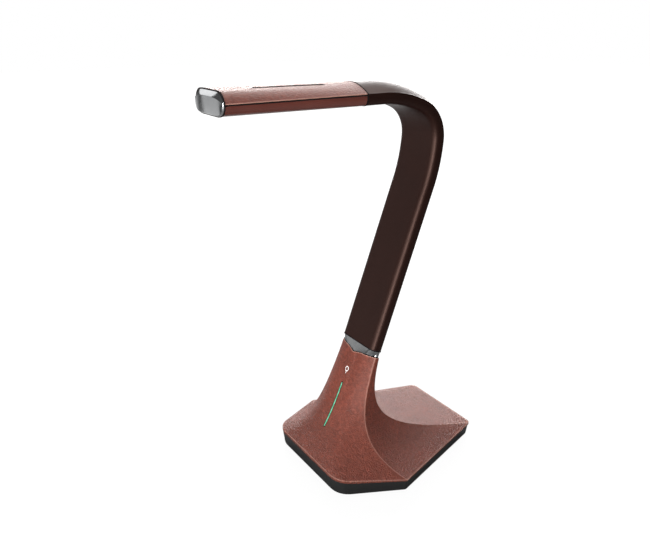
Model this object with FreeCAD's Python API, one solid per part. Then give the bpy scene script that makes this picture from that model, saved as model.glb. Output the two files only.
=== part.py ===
import FreeCAD, Part
import math
import os
from FreeCAD import Vector

# A desk lamp with a weighted hexagonal base, a leather-covered neck, a flexible arm and a level head.
# Millimetres. Origin at the centre of the base on the desk, +Z up, the head reaches towards -Y.

# Base outline, seen from above
base_length = 192.8
base_width = 180.0
front_edge_width = 117.4
rear_edge_width = 99.8
widest_setback = 65.0
front_corner_cut = 15.0
side_corner_cut = 1.6
rear_corner_cut = 6.0

# Base tray, the black band round the foot
pad_proud = 1.0
pad_thickness = 1.5
pad_margin = 8.0
band_height_front = 16.3
band_height_rear = 12.8
band_draft = 2.0
tray_wall = 2.4
tray_floor = 2.6

# Cover of base and neck
leather_thickness = 1.0
cover_wall = 2.0
lip_front = 3.0
lip_rear = 1.4
flare_decay = 29.4
front_flare_power = 1.7
corner_flare_power = 1.3
flare_steps = 11

# Neck
neck_top = 125.4
neck_half_width = 28.8
neck_side_front = -29.4
neck_side_rear = -24.0
neck_front = -35.1
neck_front_lean = 0.40
neck_rear_crown = 6.5
neck_front_crown = 1.0
neck_corner_half = 16.0
neck_front_round = 9.5
neck_side_round = 3.2
neck_extra = 8.0
collar_notch = 5.4
notch_half_width = 18.0
collar_inset = 1.2

# Arm: the sleeve follows its rear side edge, a straight run and three arcs
arm_lean = 20.0
arm_foot_y = -21.5
arm_foot_z = 129.8
arm_half_width = 27.4
arm_depth = 11.0
arm_crown = 8.6
arm_corner = 7.0
arm_straight = 174.0
lower_arc_radius = 165.0
lower_arc_turn = 16.5
tight_arc_radius = 40.5
tight_arc_turn = 70.0
upper_arc_radius = 123.0
arm_end_straight = 20.3
sleeve_wall = 2.2

# Spine inside the arm
lower_hinge_count = 3
lower_hinge_start = 40.0
lower_hinge_pitch = 52.0
upper_hinge_count = 5
upper_hinge_start = 190.0
upper_hinge_pitch = 28.75
pin_depth = 2.6
pin_radius = 2.0
running_clearance = 0.05
knuckle_radius = 4.2
knuckle_gap = 0.5
tongue_half = 5.0
link_half_width = 13.0
link_half_thickness = 3.3
strap_thickness = 2.8
strap_front = 5.4
strap_length = 52.0

# Lead that feeds the head
lead_width = 3.4
lead_thickness = 1.6
lead_side = 15.9
lead_below_arm = 100.0
lead_bend = 12.0
lead_in_head = 34.0

# Head
head_length = 136.4
groove_above = 0.3
groove_below = 1.9
head_wall = 1.8
head_corner_width = 14.0
head_corner_height = 10.6
cover_end_crown = 9.2
cover_end_power = 7.0
cover_seam_power = 2.0
head_cover_wall = 1.6
slot_width = 2.0
slot_side = 8.3
slot_start = 31.9
slot_length = 72.5
trim_proud = 0.3
trim_depth = 2.2
cap_reach = 3.6
cap_corner_reach = 1.3
cap_corner_radius = 1.2
cap_front_power = 2.0
cap_taper = 2.2
cap_crease_drop = 4.6
cap_crease_curve = 0.0048

# Lamp unit in the head
light_length = 98.0
light_half_width = 19.0
light_end_margin = 8.0
diffuser_thickness = 2.9
diffuser_ledge = 1.5
ledge_clearance = 0.3
board_thickness = 1.6
led_size = 3.0
led_height = 0.8
led_rows = 2
led_columns = 12
light_cavity = 3.0
spreader_thickness = 1.5

# Parts in the base
ballast_thickness = 7.0
ballast_margin = 5.0
control_length = 34.0
control_half_width = 25.0
control_start = 18.0
control_lift = 3.0
socket_width = 9.0
socket_height = 9.0
socket_length = 13.0
socket_bore = 2.8
socket_pin = 1.0
socket_depth = 9.5

# Fasteners
screw_radius = 1.5
screw_head_radius = 2.8
screw_head_height = 1.8
boss_radius = 4.0
boss_seat = 6.0
small_screw_radius = 1.0
small_screw_head = 1.9

# Touch field and light strip on the neck
strip_width = 1.8
strip_low = 43.8
strip_high = 89.9
touch_height = 104.4
mark_radius = 2.7
mark_line = 0.8
mark_stem = 2.0
mark_depth = 0.4
touch_board_half = 6.0
touch_board_thickness = 1.2
touch_board_top = 108.0

far = 400.0
sliver = 0.01
front_y = -base_length / 2
rear_y = base_length / 2
widest_y = front_y + widest_setback
seat_z = pad_proud + tray_floor
ballast_top = seat_z + ballast_thickness
lean_slope = math.tan(math.radians(arm_lean))
flare_start = band_height_rear + lip_rear
flare_floor = math.exp(-(neck_top - flare_start) / flare_decay)
cover_thickness = leather_thickness + cover_wall


# Small shape helpers

def box(x0, x1, y0, y1, z0, z1):
    return Part.makeBox(x1 - x0, y1 - y0, z1 - z0, Vector(x0, y0, z0))


def fuse(shapes):
    shapes = list(shapes)
    if len(shapes) == 1:
        return shapes[0]
    return shapes[0].multiFuse(shapes[1:]).removeSplitter()


def mirrored(shape):
    return shape.mirror(Vector(0, 0, 0), Vector(1, 0, 0))


def both_sides(shape):
    return [shape, mirrored(shape)]


def side_prism(outline, x0, x1):
    # A prism along X over an outline of (y, z) points.
    points = [Vector(x0, y, z) for y, z in outline]
    face = Part.Face(Part.makePolygon(points + points[:1]))
    return face.extrude(Vector(x1 - x0, 0, 0))


def bezier(start, middle, end):
    curve = Part.BezierCurve()
    curve.setPoles([start, middle, end])
    return curve.toShape()


def rounded_wire(corners, cuts, bulges):
    # A closed loop through corners, each rounded from its cut distance, each side bowed by its bulge.
    edges = []
    count = len(corners)
    for i in range(count):
        here, there = corners[i], corners[(i + 1) % count]
        beyond = corners[(i + 2) % count]
        step = (there - here).normalize()
        start = here + step * cuts[i]
        cut = cuts[(i + 1) % count]
        end = there - step * cut
        edges.append(bezier(start, (start + end) * 0.5 + bulges[i] * 2, end))
        if cut > 0:
            edges.append(bezier(end, there, there + (beyond - there).normalize() * cut))
    return Part.Wire(edges)


def solid_from(shells):
    faces = [face for shell in shells for face in shell.Faces]
    shell = Part.Shell(faces)
    shell.sewShape()
    return Part.Solid(shell)


def screw(seat, direction, length, radius, head_radius, head_height):
    # The head stands back from the seat, and the shank runs along direction.
    shank = Part.makeCylinder(radius, length, seat, direction)
    head = Part.makeCylinder(head_radius, head_height, seat, direction * -1)
    return shank.fuse(head)


# Base outline and the form of the cover

def inset_polygon(points, inset):
    # Moves every side of a counter-clockwise polygon inwards by the inset.
    moved = []
    count = len(points)
    for i in range(count):
        before, here, after = points[i - 1], points[i], points[(i + 1) % count]
        a = (here - before).normalize()
        b = (after - here).normalize()
        inward_a, inward_b = Vector(-a.y, a.x, 0), Vector(-b.y, b.x, 0)
        share = inset / (1 + inward_a.dot(inward_b))
        moved.append(here + (inward_a + inward_b) * share)
    return moved


def base_corners(inset):
    # Widest right, rear right, rear left, widest left, front left, front right.
    right = [
        Vector(base_width / 2, widest_y, 0),
        Vector(rear_edge_width / 2, rear_y, 0),
        Vector(front_edge_width / 2, front_y, 0),
    ]
    widest, rear, front = right
    points = [widest, rear, flip(rear), flip(widest), flip(front), front]
    return inset_polygon(points, inset)


def flip(v):
    return Vector(-v.x, v.y, v.z)


def neck_corners(inset, z):
    shift = lean_slope * (z - neck_top)
    front_shift = neck_front_lean * (z - neck_top)
    side = neck_half_width - inset
    lens = 0.65 * inset
    widest = Vector(side, neck_side_front + lens + shift, 0)
    rear = Vector(side, neck_side_rear - lens + shift, 0)
    half = neck_corner_half * side / neck_half_width
    front = Vector(half, neck_front + inset + front_shift, 0)
    return [widest, rear, flip(rear), flip(widest), flip(front), front]


def flare_height(share):
    return flare_start - flare_decay * math.log(share * (1 - flare_floor) + flare_floor)


def cover_ring(share, inset, height=None):
    # share 1 is the base outline and 0 the neck. A given height makes the ring flat there.
    z = flare_height(share) - 0.7 * inset if share > 0 else neck_top
    if height is not None and share == 0:
        z = height
    wide = base_corners(inset)
    slim = neck_corners(inset, z)
    rise = band_height_front + lip_front - flare_start
    corners = []
    for i in range(6):
        front = i > 3
        run = share ** corner_flare_power if front else share
        depth = share ** front_flare_power if front else share
        x = slim[i].x + run * (wide[i].x - slim[i].x)
        y = slim[i].y + depth * (wide[i].y - slim[i].y)
        lift = rise * share ** 2 if front else 0
        corners.append(Vector(x, y, z + lift if height is None else height))
    side_cut = side_corner_cut + (neck_side_round - side_corner_cut) * (1 - share) ** 20
    side_cut = min(side_cut, 0.45 * (corners[1] - corners[0]).Length)
    rear_cut = 0.5 + (rear_corner_cut - 0.5) * share ** 8
    front_cut = neck_front_round + (front_corner_cut - neck_front_round) * share
    front_cut = front_cut * corners[5].x / (corners[5].x + inset)
    cuts = [side_cut, rear_cut, rear_cut, side_cut, front_cut, front_cut]
    rear_bow = Vector(0, (neck_rear_crown - 0.33 * inset) * (1 - share) ** 6, 0)
    front_bow = Vector(0, -neck_front_crown * (1 - share), 0)
    flat = Vector(0, 0, 0)
    return rounded_wire(corners, cuts, [flat, rear_bow, flat, flat, front_bow, flat])


def cover_form(inset):
    # The outer form of base and neck as one closed solid, moved inwards by the inset.
    skirt = cover_ring(1, inset, 0.0)
    rings = [cover_ring((1 - k / flare_steps) ** 2.4, inset) for k in range(flare_steps)]
    rings.append(cover_ring(0, inset, neck_top - 0.7 * inset))
    top = cover_ring(0, inset, neck_top + neck_extra)
    shells = [
        Part.makeLoft([skirt, rings[0]], False, True),
        Part.makeLoft(rings, False, False),
        Part.makeLoft([rings[-1], top], False, True),
        Part.Face(skirt),
        Part.Face(top),
    ]
    return solid_from(shells)


def outline_prism(inset, z0, z1):
    return Part.Face(cover_ring(1, inset, z0)).extrude(Vector(0, 0, z1 - z0))


def below_parting():
    # The space under the line where the leather cover meets the black band.
    outline = [
        (-far, -far),
        (far, -far),
        (far, band_height_rear),
        (widest_y, band_height_rear),
        (front_y, band_height_front),
        (-far, band_height_front),
    ]
    return side_prism(outline, -far, far)


def above_neck():
    # The space above the notched top edge of the neck, square to the arm.
    def cut_height(x, y):
        notch = collar_notch * max(1 - abs(x) / notch_half_width, 0)
        return neck_top - lean_slope * (y - neck_side_front) - notch

    reach, start, run = 50.0, -100.0, 150.0
    stations = (-reach, -notch_half_width, 0, notch_half_width, reach)
    points = [Vector(x, start, cut_height(x, start)) for x in stations]
    points += [Vector(reach, start, far), Vector(-reach, start, far)]
    face = Part.Face(Part.makePolygon(points + points[:1]))
    return face.extrude(Vector(0, run, -run * lean_slope))


def strip_slot():
    half = strip_width / 2
    return box(-half, half, -far, neck_front, strip_low, strip_high)


def mark_form():
    # A ring with a short stem below it, as deep as a thin print.
    def disc(radius):
        return Part.makeCylinder(radius, far, Vector(0, -far, touch_height), Vector(0, 1, 0))

    half = mark_line / 2
    foot = touch_height - mark_radius
    ring = disc(mark_radius).cut(disc(mark_radius - mark_line))
    stem = box(-half, half, -far, 0, foot - mark_stem, foot + half)
    depth = cover_form(0).cut(cover_form(mark_depth))
    ahead = box(-far, far, -far, neck_front, 0, far)
    return fuse([ring, stem]).common(depth).common(ahead)


def boss_places():
    # Screws that hold the tray to the cover.
    half = [
        Vector(front_edge_width * 0.29, front_y + 38.0, 0),
        Vector(base_width * 0.32, widest_y + 19.0, 0),
        Vector(rear_edge_width * 0.36, rear_y - 40.0, 0),
    ]
    return half + [flip(p) for p in half]


def upright(place, radius, z0, z1):
    return Part.makeCylinder(radius, z1 - z0, Vector(place.x, place.y, z0))


# The arm's path in the YZ plane, measured along the sleeve's rear side edge

def path_segments():
    turns = [(lower_arc_radius, lower_arc_turn), (tight_arc_radius, tight_arc_turn)]
    rest = 90.0 + arm_lean - lower_arc_turn - tight_arc_turn
    turns.append((upper_arc_radius, rest))
    arcs = [(radius * math.radians(turn), radius) for radius, turn in turns]
    return [(arm_straight, None)] + arcs + [(arm_end_straight, None)]


def arm_length():
    return sum(length for length, radius in path_segments())


def walk(y, z, heading, distance, radius):
    if radius is None:
        return y + distance * math.cos(heading), z + distance * math.sin(heading), heading
    turned = heading + distance / radius
    y += radius * (math.sin(turned) - math.sin(heading))
    z += radius * (math.cos(heading) - math.cos(turned))
    return y, z, turned


def station(distance):
    # Point and heading at a distance along the path, straight on before and after it.
    y, z, heading = arm_foot_y, arm_foot_z, math.radians(90.0 - arm_lean)
    left = distance
    segments = path_segments()
    for length, radius in segments:
        if left <= length or (length, radius) == segments[-1]:
            return walk(y, z, heading, left, radius)
        y, z, heading = walk(y, z, heading, length, radius)
        left -= length


def on_path(distance, across, outward):
    # across runs along X, and outward to the rear of the arm, which is the top at the head.
    y, z, heading = station(distance)
    return Vector(across, y + outward * math.sin(heading), z - outward * math.cos(heading))


def tangent(distance):
    heading = station(distance)[2]
    return Vector(0, math.cos(heading), math.sin(heading))


def spans(start, end):
    # The stretches of one radius between two distances.
    marks, total = [], 0.0
    for length, radius in path_segments():
        marks.append((total, total + length, radius))
        total += length
    marks[0] = (-far, marks[0][1], None)
    marks[-1] = (marks[-1][0], far * 2, None)
    for low, high, radius in marks:
        a, b = max(low, start), min(high, end)
        if b - a > sliver:
            yield a, b, radius


def sweep(profile, start, end):
    solids = []
    for a, b, radius in spans(start, end):
        face = profile(a)
        if radius is None:
            solids.append(face.extrude(tangent(a) * (b - a)))
        else:
            centre = on_path(a, 0, -radius)
            turn = math.degrees((b - a) / radius)
            solids.append(face.revolve(centre, Vector(1, 0, 0), turn))
    return fuse(solids)


def arm_loop(distance, inset):
    # The arm's section: crowned rear, straight sides and a flat front with round corners.
    side = arm_half_width - inset
    corners = [(side, -arm_depth / 4), (side, -0.6 * inset), (side, inset - arm_depth)]
    places = [on_path(distance, x, v) for x, v in corners]
    widest, rear, front = places
    loop = [widest, rear, flip(rear), flip(widest), flip(front), front]
    round_cut = arm_corner - min(inset, arm_corner / 2)
    cuts = [0.4, 0.4, 0.4, 0.4, round_cut, round_cut]
    outward = on_path(distance, 0, 1) - on_path(distance, 0, 0)
    flat = Vector(0, 0, 0)
    bow = outward * (arm_crown - 0.4 * inset)
    return rounded_wire(loop, cuts, [flat, bow, flat, flat, flat, flat])


def sleeve_profile(distance):
    outer = Part.Face(arm_loop(distance, 0))
    return outer.cut(Part.Face(arm_loop(distance, sleeve_wall))).Faces[0]


def hinge_distances():
    lower = [lower_hinge_start + k * lower_hinge_pitch for k in range(lower_hinge_count)]
    upper = [upper_hinge_start + k * upper_hinge_pitch for k in range(upper_hinge_count)]
    return lower + upper


def sleeve_marks():
    # Sleeve stretches meet halfway between two hinges.
    hinges = hinge_distances()
    middles = [(a + b) / 2 for a, b in zip(hinges, hinges[1:])]
    return [0.0] + middles + [arm_length()]


def sleeve_stretch(index):
    marks = sleeve_marks()
    return sweep(sleeve_profile, marks[index], marks[index + 1])


# Spine: flat links joined by pins across the arm

def pin_place(index):
    return on_path(hinge_distances()[index], 0, -pin_depth)


def across_cylinder(centre, radius, x0, x1):
    return Part.makeCylinder(radius, x1 - x0, Vector(x0, centre.y, centre.z), Vector(1, 0, 0))


def bar(start, end, half_width, low, high):
    # A flat bar from start to end. low and high are its faces, measured outwards from that line.
    along = (end - start).normalize()
    outward = Vector(0, along.z, -along.y)
    corners = [start + outward * low, end + outward * low, end + outward * high]
    corners.append(start + outward * high)
    return side_prism([(p.y, p.z) for p in corners], -half_width, half_width)


def with_ears(shape, centre):
    # Two ears round the pin at the lower end of a link, with room for the tongue between them.
    room = knuckle_radius + knuckle_gap
    gap = tongue_half + knuckle_gap
    ears = across_cylinder(centre, knuckle_radius, gap, link_half_width)
    shape = shape.cut(across_cylinder(centre, room, -gap, gap))
    shape = fuse([shape] + both_sides(ears))
    return shape.cut(across_cylinder(centre, pin_radius, -far, far))


def with_tongue(shape, centre):
    # A tongue round the pin at the upper end of a link, with room for the ears beside it.
    room = knuckle_radius + knuckle_gap
    side = across_cylinder(centre, room, tongue_half, link_half_width + 1)
    for cutter in both_sides(side):
        shape = shape.cut(cutter)
    tongue = across_cylinder(centre, knuckle_radius, -tongue_half, tongue_half)
    hole = across_cylinder(centre, pin_radius + running_clearance, -far, far)
    return shape.fuse(tongue).removeSplitter().cut(hole)


def spine_link(index):
    low, high = pin_place(index), pin_place(index + 1)
    web = bar(low, high, link_half_width, -link_half_thickness, link_half_thickness)
    return with_tongue(with_ears(web, low), high)


def strap_line(distance, depth):
    return on_path(distance, 0, -depth)


def spine_foot():
    # The lowest link is thick in the arm and goes on down the neck as a thin strap.
    top = pin_place(0)
    shoulder = on_path(4.0, 0, -pin_depth)
    web = bar(shoulder, top, link_half_width, -link_half_thickness, link_half_thickness)
    middle = strap_front - strap_thickness / 2
    half = strap_thickness / 2
    low, high = strap_line(-strap_length, middle), strap_line(12.0, middle)
    strap = bar(low, high, link_half_width, -half, half)
    return with_tongue(web.fuse(strap), top).cut(fuse(strap_screw_holes()))


def spine_tip():
    # The last link ends as a level bar inside the head.
    low = pin_place(len(hinge_distances()) - 1)
    bend = on_path(arm_length(), 0, -pin_depth)
    end = on_path(arm_length() + 26.0, 0, -pin_depth)
    slant = bar(low, bend, link_half_width, -link_half_thickness, link_half_thickness)
    level = bar(bend, end, link_half_width, -link_half_thickness, link_half_thickness)
    knee = across_cylinder(bend, link_half_thickness, -link_half_width, link_half_width)
    shape = with_ears(fuse([slant, level, knee]), low)
    return shape.cut(fuse(clamp_screw_holes()))


def hinge_pin(index):
    return across_cylinder(pin_place(index), pin_radius, -link_half_width, link_half_width)


def strap_screw_seats():
    # Two screws through the strap and the bracket behind it, heads at the front.
    places = []
    for distance in (-16.0, -42.0):
        places.append((strap_line(distance, strap_front), outward_at(distance)))
    return places


def outward_at(distance):
    return on_path(distance, 0, 1) - on_path(distance, 0, 0)


def strap_screw_holes():
    return [Part.makeCylinder(screw_radius, 12.0, p, d) for p, d in strap_screw_seats()]


# Lead: flat twin cable from the control board to the head

def lead_profile(distance):
    x0, x1 = lead_side - lead_width / 2, lead_side + lead_width / 2
    front, back = -pin_depth - lead_thickness / 2, -pin_depth + lead_thickness / 2
    corners = [(x0, front), (x1, front), (x1, back), (x0, back)]
    points = [on_path(distance, x, v) for x, v in corners]
    return Part.Face(Part.makePolygon(points + points[:1]))


def lead_low():
    # Where the lead turns under the neck and runs back, level, to the control board.
    start = -lead_below_arm
    face = lead_profile(start)
    centre = on_path(start, 0, lead_bend)
    turn = 90.0 + arm_lean
    arc = face.revolve(centre, Vector(1, 0, 0), turn)
    middle = lead_bend + pin_depth
    z0 = centre.z - middle - lead_thickness / 2
    x0 = lead_side - lead_width / 2
    run = box(x0, x0 + lead_width, centre.y, control_start, z0, z0 + lead_thickness)
    return arc, run, z0


def arm_lead():
    arc, run, z0 = lead_low()
    upper = sweep(lead_profile, -lead_below_arm, arm_length() + lead_in_head)
    return fuse([upper, arc, run])


# Base parts

def base_tray():
    low = cover_ring(1, band_draft, pad_proud)
    high = cover_ring(1, 0, band_height_front + 1)
    outer = Part.makeLoft([low, high], True, True).common(below_parting())
    inner = outline_prism(tray_wall + band_draft, seat_z, far)
    shape = outer.cut(inner)
    for place in boss_places():
        shape = shape.fuse(upright(place, boss_radius + 1, pad_proud, boss_seat))
    for place in boss_places():
        shape = shape.cut(upright(place, screw_head_radius + 0.3, 0, pad_proud + screw_head_height + 0.4))
        shape = shape.cut(upright(place, screw_radius, 0, far))
    shape = shape.cut(outline_prism(pad_margin, 0, pad_thickness))
    socket_z = socket_middle()
    hole = Part.makeCylinder(socket_bore + 0.6, 30.0, Vector(0, rear_y - 15.0, socket_z), Vector(0, 1, 0))
    return shape.cut(hole).removeSplitter()


def base_pad():
    # A thin non-slip pad under the tray, with a hole below every screw.
    pad = outline_prism(pad_margin, 0, pad_thickness)
    holes = [upright(p, screw_head_radius + 1, 0, far) for p in boss_places()]
    return pad.cut(fuse(holes))


def ballast_plate():
    plate = outline_prism(tray_wall + band_draft + ballast_margin, seat_z, ballast_top)
    for place in boss_places():
        plate = plate.cut(upright(place, boss_radius + 1.6, 0, far))
    notch_half = socket_width / 2 + 2
    notch = box(-notch_half, notch_half, socket_back() - 4, far, 0, far)
    plate = plate.cut(notch)
    pillars = [upright(p, 2.4, ballast_top, ballast_top + control_lift) for p in control_corners()]
    plate = fuse([plate] + pillars)
    holes = [upright(p, small_screw_radius, seat_z + 2, far) for p in control_corners()]
    holes += [upright(p, screw_radius, seat_z, far) for p in flange_places()]
    return plate.cut(fuse(holes))


def base_cover():
    inner = cover_form(cover_thickness)
    shape = cover_form(leather_thickness)
    bosses = [upright(p, boss_radius, boss_seat, neck_top / 2) for p in boss_places()]
    bosses = [boss.common(inner) for boss in bosses]
    shape = shape.cut(inner).cut(below_parting())
    shape = fuse([shape] + bosses)
    for place in boss_places():
        shape = shape.cut(upright(place, screw_radius, 0, boss_seat + 6))
    return shape.cut(above_neck()).cut(strip_slot())


def base_leather():
    shape = cover_form(0).cut(cover_form(leather_thickness))
    shape = shape.cut(below_parting()).cut(above_neck())
    return shape.cut(strip_slot()).cut(mark_form())


def base_screws():
    solids = []
    for place in boss_places():
        seat = Vector(place.x, place.y, pad_proud + screw_head_height + 0.4)
        length = boss_seat + 6 - seat.z
        up = Vector(0, 0, 1)
        solids.append(screw(seat, up, length, screw_radius, screw_head_radius, screw_head_height))
    return Part.makeCompound(solids)


def neck_collar():
    low = cover_ring(0, collar_inset, neck_top - 9.0)
    high = arm_loop(0, 0.5)
    form = Part.makeLoft([low, high], True, True)
    half = lead_side + lead_width / 2 + 0.5
    hole = bar(on_path(-40.0, 0, 0), on_path(10.0, 0, 0), half, -8.2, 1.2)
    return form.common(above_neck()).cut(hole)


def flange_places():
    middle = flange_start() + 16.0
    return [Vector(-8.0, middle, 0), Vector(8.0, middle, 0)]


def flange_start():
    # Where the bracket's rear face meets the top of its flange.
    depth = strap_front - 2 * strap_thickness
    rise = (arm_foot_z - ballast_top) / math.cos(math.radians(arm_lean))
    return on_path(-rise, 0, -depth).y


def neck_bracket():
    # A strip of steel that stands on the ballast and leans up the neck behind the strap.
    middle = strap_front - 1.5 * strap_thickness
    half = strap_thickness / 2
    rise = (arm_foot_z - ballast_top) / math.cos(math.radians(arm_lean))
    low, high = strap_line(-rise - 6.0, middle), strap_line(-4.0, middle)
    upright_strip = bar(low, high, link_half_width, -half, half)
    y0 = flange_start() - 3.0
    flange = box(-link_half_width, link_half_width, y0, y0 + 28.0, ballast_top, ballast_top + strap_thickness)
    shape = upright_strip.fuse(flange).removeSplitter()
    shape = shape.cut(box(-far, far, -far, far, -far, ballast_top))
    holes = strap_screw_holes() + [upright(p, screw_radius, 0, far) for p in flange_places()]
    return shape.cut(fuse(holes))


def bracket_screws():
    solids = []
    for seat, direction in strap_screw_seats():
        length = 2 * strap_thickness
        solids.append(screw(seat, direction, length, screw_radius, screw_head_radius, screw_head_height))
    for place in flange_places():
        seat = Vector(place.x, place.y, ballast_top + strap_thickness)
        down = Vector(0, 0, -1)
        solids.append(screw(seat, down, 7.0, screw_radius, screw_head_radius, screw_head_height))
    return Part.makeCompound(solids)


def socket_middle():
    return seat_z + socket_height / 2


def socket_back():
    return rear_y - tray_wall - band_draft - socket_length


def dc_socket():
    # A barrel socket: a block with a round mouth at the rear and a contact pin inside.
    mouth = rear_y - tray_wall - band_draft
    half = socket_width / 2
    block = box(-half, half, socket_back(), mouth, seat_z, seat_z + socket_height)
    axis = Vector(0, 1, 0)
    floor = Vector(0, mouth - socket_depth, socket_middle())
    block = block.cut(Part.makeCylinder(socket_bore, far, floor, axis))
    return block.fuse(Part.makeCylinder(socket_pin, socket_depth - 1, floor, axis))


def control_floor():
    return ballast_top + control_lift


def control_corners():
    x = control_half_width - 3.5
    y0, y1 = control_start + 3.5, control_start + control_length - 3.5
    return [Vector(x, y0, 0), Vector(x, y1, 0), Vector(-x, y0, 0), Vector(-x, y1, 0)]


def lead_plug_box():
    arc, run, lead_z = lead_low()
    half = lead_width / 2 + 1.5
    y0, z0 = control_start, control_floor() + board_thickness
    return box(lead_side - half, lead_side + half, y0, y0 + 9.0, z0, lead_z + lead_thickness + 1)


def control_board():
    z0 = control_floor()
    z1 = z0 + board_thickness
    y1 = control_start + control_length
    board = box(-control_half_width, control_half_width, control_start, y1, z0, z1)
    driver = box(-9, -1, control_start + 12, control_start + 20, z1, z1 + 1.6)
    coil = Part.makeCylinder(4.5, 4.0, Vector(8, control_start + 22, z1))
    capacitor = Part.makeCylinder(3.0, 5.0, Vector(-16, control_start + 12, z1))
    inlet = box(-6, 6, y1 - 5, y1, ballast_top + 0.4, z0)
    board = fuse([board, driver, coil, capacitor, inlet, lead_plug_box()])
    holes = [upright(p, small_screw_radius, 0, far) for p in control_corners()]
    return board.cut(fuse(holes))


def board_screws():
    seat_height = control_floor() + board_thickness
    down = Vector(0, 0, -1)
    return Part.makeCompound([
        screw(Vector(p.x, p.y, seat_height), down, 6.0, small_screw_radius, small_screw_head, 1.2)
        for p in control_corners()
    ])


def socket_lead():
    z0 = ballast_top + 1.0
    y0 = control_start + control_length
    return box(-3.0, 3.0, y0, socket_back(), z0, z0 + 1.2)


# Touch board and light strip behind the front of the neck

def touch_plane(offset):
    # Front of the touch board as a line in the YZ plane, from its low end to its high end.
    def inner_front(z):
        return neck_front + neck_front_lean * (z - neck_top) + cover_thickness

    top = Vector(0, inner_front(touch_board_top) + 0.5 + offset, touch_board_top)
    low = Vector(0, inner_front(strip_low) + 0.2 + offset, strip_low)
    return low, top


def touch_board():
    low, top = touch_plane(0)
    thick = touch_board_thickness
    outline = [(low.y, low.z), (top.y, top.z), (top.y + thick, top.z), (low.y + thick, low.z)]
    return side_prism(outline, -touch_board_half, touch_board_half)


def strip_light_guide():
    low, top = touch_plane(0)
    outline = [(-far, low.z), (low.y, low.z), (top.y, top.z), (-far, top.z)]
    ahead = side_prism(outline, -far, far)
    return cover_form(0).common(strip_slot()).common(ahead)


def touch_mark():
    return mark_form()


# Head

def seam_y():
    return station(arm_length())[0]


def edge_z():
    return station(arm_length())[1]


def head_end_y():
    return seam_y() - head_length


def arch_wire(y, half_width, crown, power, low):
    # The section of the head's cover: a crowned top over a flat chord, brought down to low.
    steps = 12
    points = []
    for k in range(steps + 1):
        x = -half_width * math.cos(math.pi * k / steps)
        rise = crown * (1 - abs(x / half_width) ** power)
        points.append(Vector(x, y, edge_z() + rise))
    arch = Part.BSplineCurve()
    arch.interpolate(points)
    right, left = points[-1], points[0]
    right_low, left_low = Vector(right.x, y, low), Vector(left.x, y, low)
    sides = [Part.makeLine(right, right_low), Part.makeLine(right_low, left_low)]
    sides.append(Part.makeLine(left_low, left))
    return Part.Wire([arch.toShape()] + sides)


def head_cover_form(inset, low):
    seam = arch_wire(seam_y(), arm_half_width - inset, arm_crown - inset, cover_seam_power, low)
    end = arch_wire(head_end_y(), arm_half_width - inset, cover_end_crown - inset, cover_end_power, low)
    return Part.makeLoft([seam, end], True, True)


def slot_box(z0, z1):
    y1 = seam_y() - slot_start
    half = slot_width / 2
    return box(slot_side - half, slot_side + half, y1 - slot_length, y1, z0, z1)


def head_leather():
    low = edge_z() + groove_above
    skin = head_cover_form(0, low - 1).cut(head_cover_form(leather_thickness, low - 2))
    skin = skin.cut(box(-far, far, -far, far, -far, low))
    return skin.cut(slot_box(edge_z(), far))


def head_cover():
    low = edge_z() + groove_above
    inset = leather_thickness + head_cover_wall
    shape = head_cover_form(leather_thickness, low - 6).cut(head_cover_form(inset, low - 8))
    shape = shape.cut(box(-far, far, -far, far, -far, low - 4))
    # The tongue under the edge stands just inside the housing's walls.
    tongue_room = box(-far, far, -far, far, -far, low)
    shape = shape.cut(tongue_room.cut(head_inside(head_wall + 0.1)))
    shape = shape.cut(slot_box(edge_z(), far))
    posts = [upright(p, 2.2, head_floor() + 2.0, far) for p in head_screw_places()]
    shape = fuse([shape] + [post.common(head_cover_form(inset, 0)) for post in posts])
    holes = [upright(p, small_screw_radius, 0, head_floor() + 8.0) for p in head_screw_places()]
    return shape.cut(fuse(holes))


def slot_trim():
    # The inlay stands a little proud of the leather.
    form = head_cover_form(-trim_proud, edge_z() - 1)
    deep = head_cover_form(trim_depth - trim_proud, edge_z() - 2)
    return form.cut(deep).common(slot_box(edge_z(), far))


def head_bottom():
    return edge_z() - arm_depth


def head_floor():
    return head_bottom() + head_wall


def channel_corner(y):
    # Width and height of the lower rounding: the arm's at the seam, wider towards the end.
    share = min(max((seam_y() - y) / head_length, 0.0), 1.0)
    width = arm_corner + (head_corner_width - arm_corner) * share
    height = arm_corner + (head_corner_height - arm_corner) * share
    return width, height


def channel_wire(y, inset):
    # The section of the head under its cover, with round lower corners and an upright top.
    side = arm_half_width - inset
    low = head_bottom() + inset
    high = edge_z() + cover_end_crown + 1
    width, height = [cut - min(inset, cut / 2) for cut in channel_corner(y)]
    right = [(side, high), (side, low + height), (side, low), (side - width, low)]
    right = [Vector(x, y, z) for x, z in right]
    left = [flip(p) for p in right]
    edges = [
        Part.makeLine(left[0], left[1]),
        bezier(left[1], left[2], left[3]),
        Part.makeLine(left[3], right[3]),
        bezier(right[3], right[2], right[1]),
        Part.makeLine(right[1], right[0]),
        Part.makeLine(right[0], left[0]),
    ]
    return Part.Wire(edges)


def head_form(inset, y0, y1):
    return Part.makeLoft([channel_wire(y0, inset), channel_wire(y1, inset)], True, True)


def head_outside():
    return head_form(0, head_end_y(), seam_y())


def head_inside(inset):
    return head_form(inset, head_end_y() - 1, seam_y() + 1)


def light_start():
    return head_end_y() + light_end_margin


def light_window(margin, z0, z1):
    half = light_half_width + margin
    return box(-half, half, light_start() - margin, light_start() + light_length + margin, z0, z1)


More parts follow.
